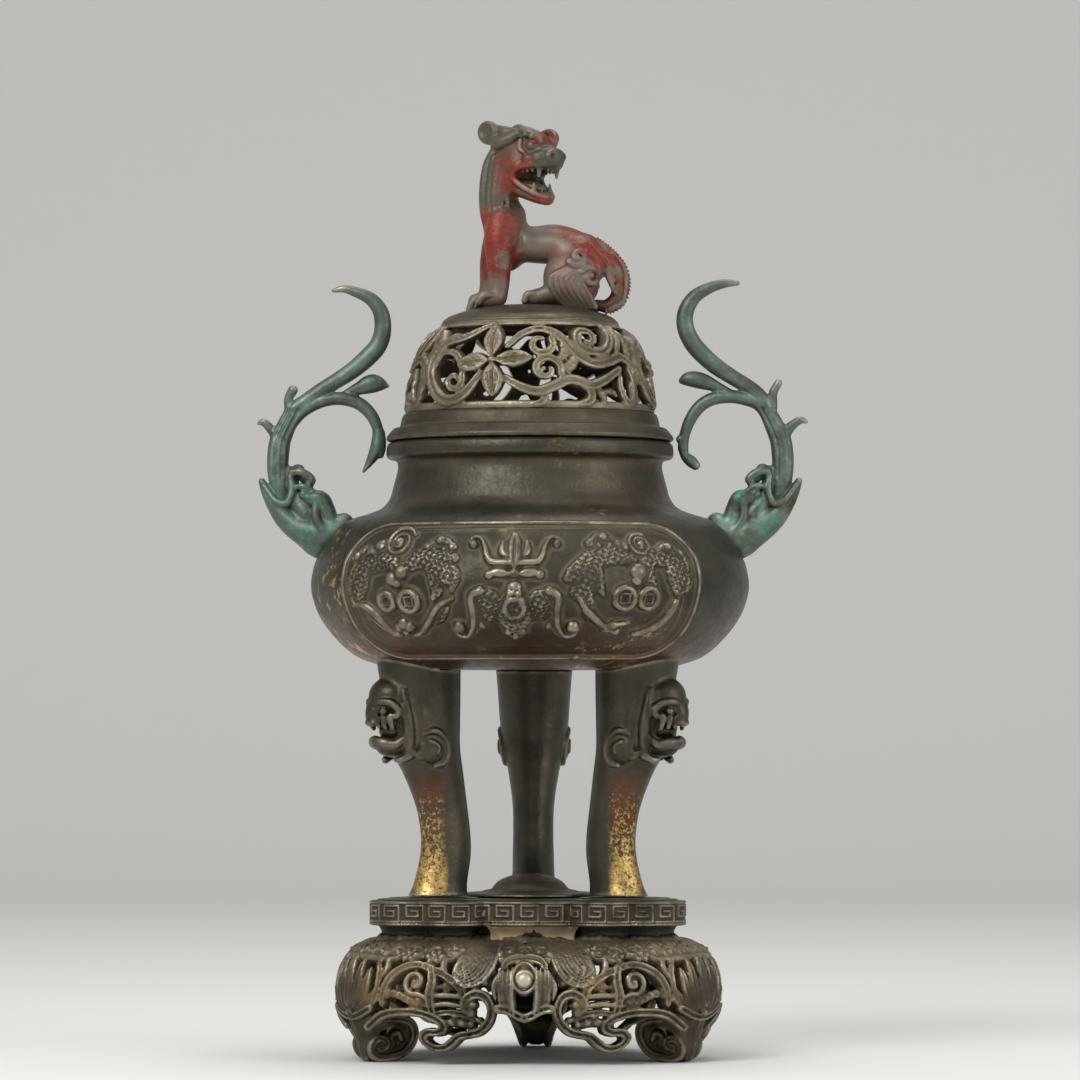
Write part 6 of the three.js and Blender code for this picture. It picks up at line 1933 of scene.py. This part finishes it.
def shape_lion_head(clay):
    """The head facing along x; it is turned when it is joined to the neck"""
    clay.ball((-1.2, 0, 33.6), (6.2, 5.5, 5.0), soft=1.2)
    clay.ball((3.4, 0, 35.4), (3.6, 4.4, 3.2), soft=1.0)
    # Muzzle and lower jaw, then the mouth cut between them
    clay.limb([(2.0, 0, 32.3, 3.4), (6.0, 0, 32.2, 3.1), (8.4, 0, 32.2, 2.4)], soft=0.9, flat=1.3)
    clay.limb([(-2.6, 0, 27.2, 2.4), (1.0, 0, 25.2, 1.7), (4.2, 0, 23.8, 1.4), (6.4, 0, 23.0, 1.1)],
              soft=0.8, flat=2.1)
    clay.balls((0.0, 4.1, 31.2), (3.2, 1.9, 3.2), soft=0.9)
    clay.balls((-1.8, 3.8, 28.2), (2.7, 1.8, 2.8), soft=0.9)
    clay.ball((5.6, 0, 27.8), (5.6, 8.0, 2.3), soft=0.5, turn=-17, carve=True)
    clay.ball((2.6, 0, 28.2), (4.4, 3.2, 2.5), soft=0.4, turn=-15, carve=True)
    # Tongue and teeth
    clay.limb([(0.2, 0, 27.2, 1.2), (3.0, 0, 26.2, 1.2), (5.0, 0, 25.6, 0.8)], soft=0.3, flat=1.8)
    clay.both([(7.0, 2.9, 30.8, 0.85), (6.9, 3.0, 28.2, 0.35)], soft=0.15)
    clay.both([(5.2, 2.7, 24.6, 0.75), (5.1, 2.7, 26.9, 0.3)], soft=0.15)
    for x, y in ((5.4, 3.5), (4.2, 3.8), (3.0, 4.0), (8.4, 1.6), (8.7, 0.5)):
        clay.both([(x, y, 30.4, 0.55), (x, y, 29.4, 0.32)], soft=0.1)
    for x, y, z in ((3.6, 2.9, 25.3), (2.4, 3.2, 25.9), (6.4, 1.4, 24.2), (6.6, 0.4, 24.1)):
        clay.both([(x, y, z, 0.5), (x, y, z + 1.0, 0.25)], soft=0.1)
    # Lips all round the mouth
    clay.both([(9.3, 0.7, 31.0, 0.7), (8.2, 2.5, 30.9, 0.8), (6.2, 3.7, 31.0, 0.8), (3.6, 4.4, 30.8, 0.8),
               (1.4, 4.9, 30.0, 0.75), (0.4, 4.9, 28.6, 0.7), (1.8, 4.2, 26.8, 0.7), (4.2, 3.4, 25.2, 0.65),
               (6.4, 2.2, 24.0, 0.6), (7.1, 0.6, 23.7, 0.6)], soft=0.35)
    # Nose with its wings and nostrils, whisker pads, wrinkles on the bridge
    clay.ball((8.8, 0, 33.4), (1.7, 2.7, 1.3), soft=0.4)
    clay.balls((9.1, 2.0, 32.8), (1.25, 1.2, 1.05), soft=0.3)
    clay.balls((10.2, 1.9, 32.7), (0.75, 0.62, 0.55), soft=0.15, carve=True)
    clay.balls((6.7, 3.4, 32.4), (1.7, 1.3, 1.4), soft=0.3)
    clay.balls((4.5, 4.1, 32.2), (1.5, 1.1, 1.25), soft=0.3)
    clay.both([(8.2, 0.3, 34.9, 0.5), (7.2, 1.8, 34.7, 0.6), (6.0, 2.9, 34.0, 0.55)], soft=0.2)
    # Eyes under curled brows
    clay.balls((4.9, 3.3, 35.3), (1.4, 1.2, 1.3), soft=0.2)
    clay.balls((6.1, 3.6, 35.4), (0.4, 0.4, 0.4), soft=0.1, carve=True)
    clay.both([(1.9, 3.6, 38.3, 0.8), (3.4, 4.0, 38.7, 0.95), (5.0, 3.8, 38.3, 1.0), (6.3, 3.1, 37.2, 1.0),
               (6.7, 2.4, 35.9, 0.8), (6.3, 2.2, 34.9, 0.6)], soft=0.3)
    clay.both([(3.0, 4.8, 36.4, 0.55), (2.9, 5.0, 34.7, 0.6), (4.0, 4.7, 33.7, 0.5)], soft=0.2)
    for x, y, z in ((2.6, 4.0, 37.6), (4.2, 4.4, 37.8), (5.6, 4.0, 37.2)):
        clay.balls((x, y, z), (0.8, 0.7, 0.7), soft=0.15)
    # Ears: a cupped disc, and the thick roll that joins it to the brow
    for half in clay.halves():
        half.ball((-6.4, 5.2, 38.7), (3.1, 1.5, 2.7), soft=0.3, turn=-20)
        half.ball((-6.7, 6.5, 38.9), (2.2, 1.0, 1.9), soft=0.3, turn=-20, carve=True)
    clay.both([(-5.2, 5.0, 37.0, 1.2), (-3.0, 5.5, 36.2, 1.55), (-0.8, 5.0, 36.7, 1.5),
               (1.4, 4.2, 38.0, 1.0)], soft=0.2)
    clay.both([(-4.6, 4.6, 39.6, 0.9), (-2.0, 4.3, 38.8, 1.2), (0.6, 3.4, 38.6, 0.9)], soft=0.3)
    clay.balls((-2.4, 4.4, 37.8), (2.2, 1.2, 1.3), soft=0.4)
    # Ruff behind the cheek
    for i in range(4):
        clay.both([(-1.6 - i * 0.7, 5.1, 33.0 - i * 1.7, 0.6), (-3.8 - i * 0.6, 5.3, 31.4 - i * 1.6, 0.75),
                   (-5.8 - i * 0.4, 4.8, 30.8 - i * 1.5, 0.4)], soft=0.25)


class BURNER_OT_lion(bpy.types.Operator):
    """Models the lion finial with its mane, curls and tail"""
    bl_idname = "burner.lion"
    bl_label = "Model the Lion"

    def execute(self, context):
        set_piece(make_lion(context.scene.burner_castings.figure_grain), "lid", "red_patina", "lion")
        return {"FINISHED"}


# The rivets: pins peened over at both ends

# Radius and length of a handle's rivet, and its way out and up
HANDLE_RIVET = (2.4, 5.6, 0.85, 0.53)
HANDLE_RIVET_HIDDEN = 1.9
LION_RIVET_SHOWS = 2.2
RIVET_SIDES = 72
# Height of a rivet's hammered head, and how far its flats are sunk
HEAD_HEIGHT, FLAT_DEPTH = 1.3, 0.012


def make_rivet(name, radius, foot, head):
    """A pin from foot to head, in millimetres, its head a low dome hammered into a few flats"""
    way = head - foot
    reach = way.length
    profile = [(0.01, 0.0), (radius * 0.62, 0.0), (radius * 0.8, 0.15), (radius * 0.86, 0.5),
               (radius * 0.86, reach - 1.5), (radius * 0.98, reach - 1.35), (radius, reach - 1.15),
               (radius * 0.97, reach - 0.8), (radius * 0.82, reach - 0.35), (radius * 0.5, reach - 0.08),
               (0.01, reach)]
    pin = lathe(name, cornered(profile, 0.12, closed=False), RIVET_SIDES)
    for vertex in pin.data.vertices:
        x, y, z = vertex.co / MM
        if z > reach - HEAD_HEIGHT:
            turn = math.atan2(y, x)
            vertex.co *= 1 - FLAT_DEPTH * (1 + math.cos(turn * 5 + z * 2)) * math.hypot(x, y) / radius
    pin.data.transform(way.to_track_quat("Z", "X").to_matrix().to_4x4())
    pin.data.transform(Matrix.Translation(foot * MM))
    return pin


def upright_rivet(name, node, shown=math.inf):
    """A pin in place of an upright rivet of the frame, its head no higher than what is shown"""
    low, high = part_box(node)
    middle = (low + high) / 2 / MM
    foot, head = (Vector((middle.x, middle.y, z)) for z in (low.z / MM, min(high.z / MM, shown)))
    return make_rivet(name, (high.x - low.x) / 2 / MM, foot, head)


class BURNER_OT_rivets(bpy.types.Operator):
    """Peens the rivets of the legs, the handles and the lion"""
    bl_idname = "burner.rivets"
    bl_label = "Set the Rivets"

    def execute(self, context):
        for side in LEG_AZIMUTHS:
            node = "leg_rivet_" + side
            set_piece(upright_rivet("Leg_rivet_" + side, node), "censer", "rivet_brass", node)
        radius, reach, out, up = HANDLE_RIVET
        for side, turn in (("right", 1), ("left", -1)):
            node = "handle_rivet_" + side
            low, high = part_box(node)
            middle = (low + high) / 2 / MM
            way = Vector((turn * out, 0, up))
            middle -= way * HANDLE_RIVET_HIDDEN
            half = way * reach / 2
            pin = make_rivet("Handle_rivet_" + side, radius, middle + half, middle - half)
            set_piece(pin, "censer", "rivet_brass", node)
        rivet = upright_rivet("Lion_rivet", "lion_rivet", level("lion", 0) + LION_RIVET_SHOWS)
        set_piece(rivet, "lid", "rivet_brass", "lion_rivet")
        return {"FINISHED"}


# Each lamp's name, place, power setting and width, in metres
LAMPS = (("Key lamp", (-0.45, -0.75, 0.75), "key_power", 0.5),
         ("Fill lamp", (0.8, -0.5, 0.4), "fill_power", 0.6),
         ("Top lamp", (0.05, 0.15, 1.0), "fill_power", 0.5))
LAMP_AIM = 0.11
PAPER_COLOUR = (0.72, 0.71, 0.69, 1)
PAPER_ROUGHNESS = 0.9


class BURNER_OT_stage(bpy.types.Operator):
    """Sets the floor, the lamps and the camera"""
    bl_idname = "burner.stage"
    bl_label = "Set the Stage"

    def execute(self, context):
        sizes = context.scene.burner_stage
        self.floor()
        self.lamps(sizes)
        self.camera(sizes)
        context.scene.view_settings.view_transform = "Standard"
        return {"FINISHED"}

    def floor(self):
        mesh = bpy.data.meshes.new("Floor")
        reach, wall, bend, steps = 3.0, 1.1, 0.5, 16
        rows = [(-reach, 0.0), (wall, 0.0)]
        for i in range(1, steps + 1):
            angle = math.pi / 2 * i / steps
            rows.append((wall + bend * math.sin(angle), bend * (1 - math.cos(angle))))
        rows.append((wall + bend, reach))
        points = [(x, y, z) for y, z in rows for x in (-reach, reach)]
        faces = [(2 * i, 2 * i + 1, 2 * i + 3, 2 * i + 2) for i in range(len(rows) - 1)]
        mesh.from_pydata(points, [], faces)
        floor = bpy.data.objects.new("Floor", mesh)
        bpy.context.scene.collection.objects.link(floor)
        mesh.shade_smooth()
        material = bpy.data.materials.new("Pale paper")
        material.use_nodes = True
        principled = material.node_tree.nodes["Principled BSDF"]
        principled.inputs["Base Color"].default_value = PAPER_COLOUR
        principled.inputs["Roughness"].default_value = PAPER_ROUGHNESS
        mesh.materials.append(material)

    def lamps(self, sizes):
        for name, place, power, width in LAMPS:
            data = bpy.data.lights.new(name, "AREA")
            data.energy = getattr(sizes, power)
            data.size = width
            lamp = bpy.data.objects.new(name, data)
            lamp.location = place
            aim = Vector((0, 0, LAMP_AIM)) - lamp.location
            lamp.rotation_euler = aim.to_track_quat("-Z", "Y").to_euler()
            bpy.context.scene.collection.objects.link(lamp)
        world = bpy.data.worlds.new("Room")
        world.use_nodes = True
        background = world.node_tree.nodes["Background"]
        background.inputs["Color"].default_value = (1, 1, 1, 1)
        background.inputs["Strength"].default_value = sizes.world_strength
        bpy.context.scene.world = world

    def camera(self, sizes):
        data = bpy.data.cameras.new("Camera")
        data.lens = sizes.lens
        data.sensor_width = 36
        camera = bpy.data.objects.new("Camera", data)
        bpy.context.scene.collection.objects.link(camera)
        turn = sizes.azimuth
        right = Vector((math.cos(turn), math.sin(turn), 0))
        distance = sizes.distance
        camera.location = (math.sin(turn) * distance, -math.cos(turn) * distance, sizes.height)
        aim = Vector((0, 0, (GROUND_ROW - IMAGE_CENTRE) * PIXEL))
        aim += right * (IMAGE_CENTRE - AXIS_COLUMN) * PIXEL
        camera.rotation_euler = (aim - camera.location).to_track_quat("-Z", "Y").to_euler()
        bpy.context.scene.camera = camera


class BURNER_PT_panel(bpy.types.Panel):
    """Lists the burner's steps in the sidebar"""
    bl_label = "Incense Burner"
    bl_idname = "BURNER_PT_panel"
    bl_space_type = "VIEW_3D"
    bl_region_type = "UI"
    bl_category = "Burner"

    def draw(self, context):
        for operator in OPERATORS:
            self.layout.operator(operator.bl_idname)


OPERATORS = (BURNER_OT_stage, BURNER_OT_finishes, BURNER_OT_plate, BURNER_OT_apron, BURNER_OT_bowl,
             BURNER_OT_legs, BURNER_OT_handles, BURNER_OT_lid, BURNER_OT_lion, BURNER_OT_rivets)
GROUPS = (StageSizes, CastingSizes, BronzeColours)


def register():
    for cls in (*GROUPS, *OPERATORS, BURNER_PT_panel):
        bpy.utils.register_class(cls)
    bpy.types.Scene.burner_stage = bpy.props.PointerProperty(type=StageSizes)
    bpy.types.Scene.burner_castings = bpy.props.PointerProperty(type=CastingSizes)
    bpy.types.Scene.burner_colours = bpy.props.PointerProperty(type=BronzeColours)


def unregister():
    del bpy.types.Scene.burner_colours
    del bpy.types.Scene.burner_castings
    del bpy.types.Scene.burner_stage
    for cls in reversed((*GROUPS, *OPERATORS, BURNER_PT_panel)):
        bpy.utils.unregister_class(cls)


def main():
    register()
    for operator in OPERATORS:
        family, name = operator.bl_idname.split(".")
        getattr(getattr(bpy.ops, family), name)()


if __name__ == "__main__":
    main()
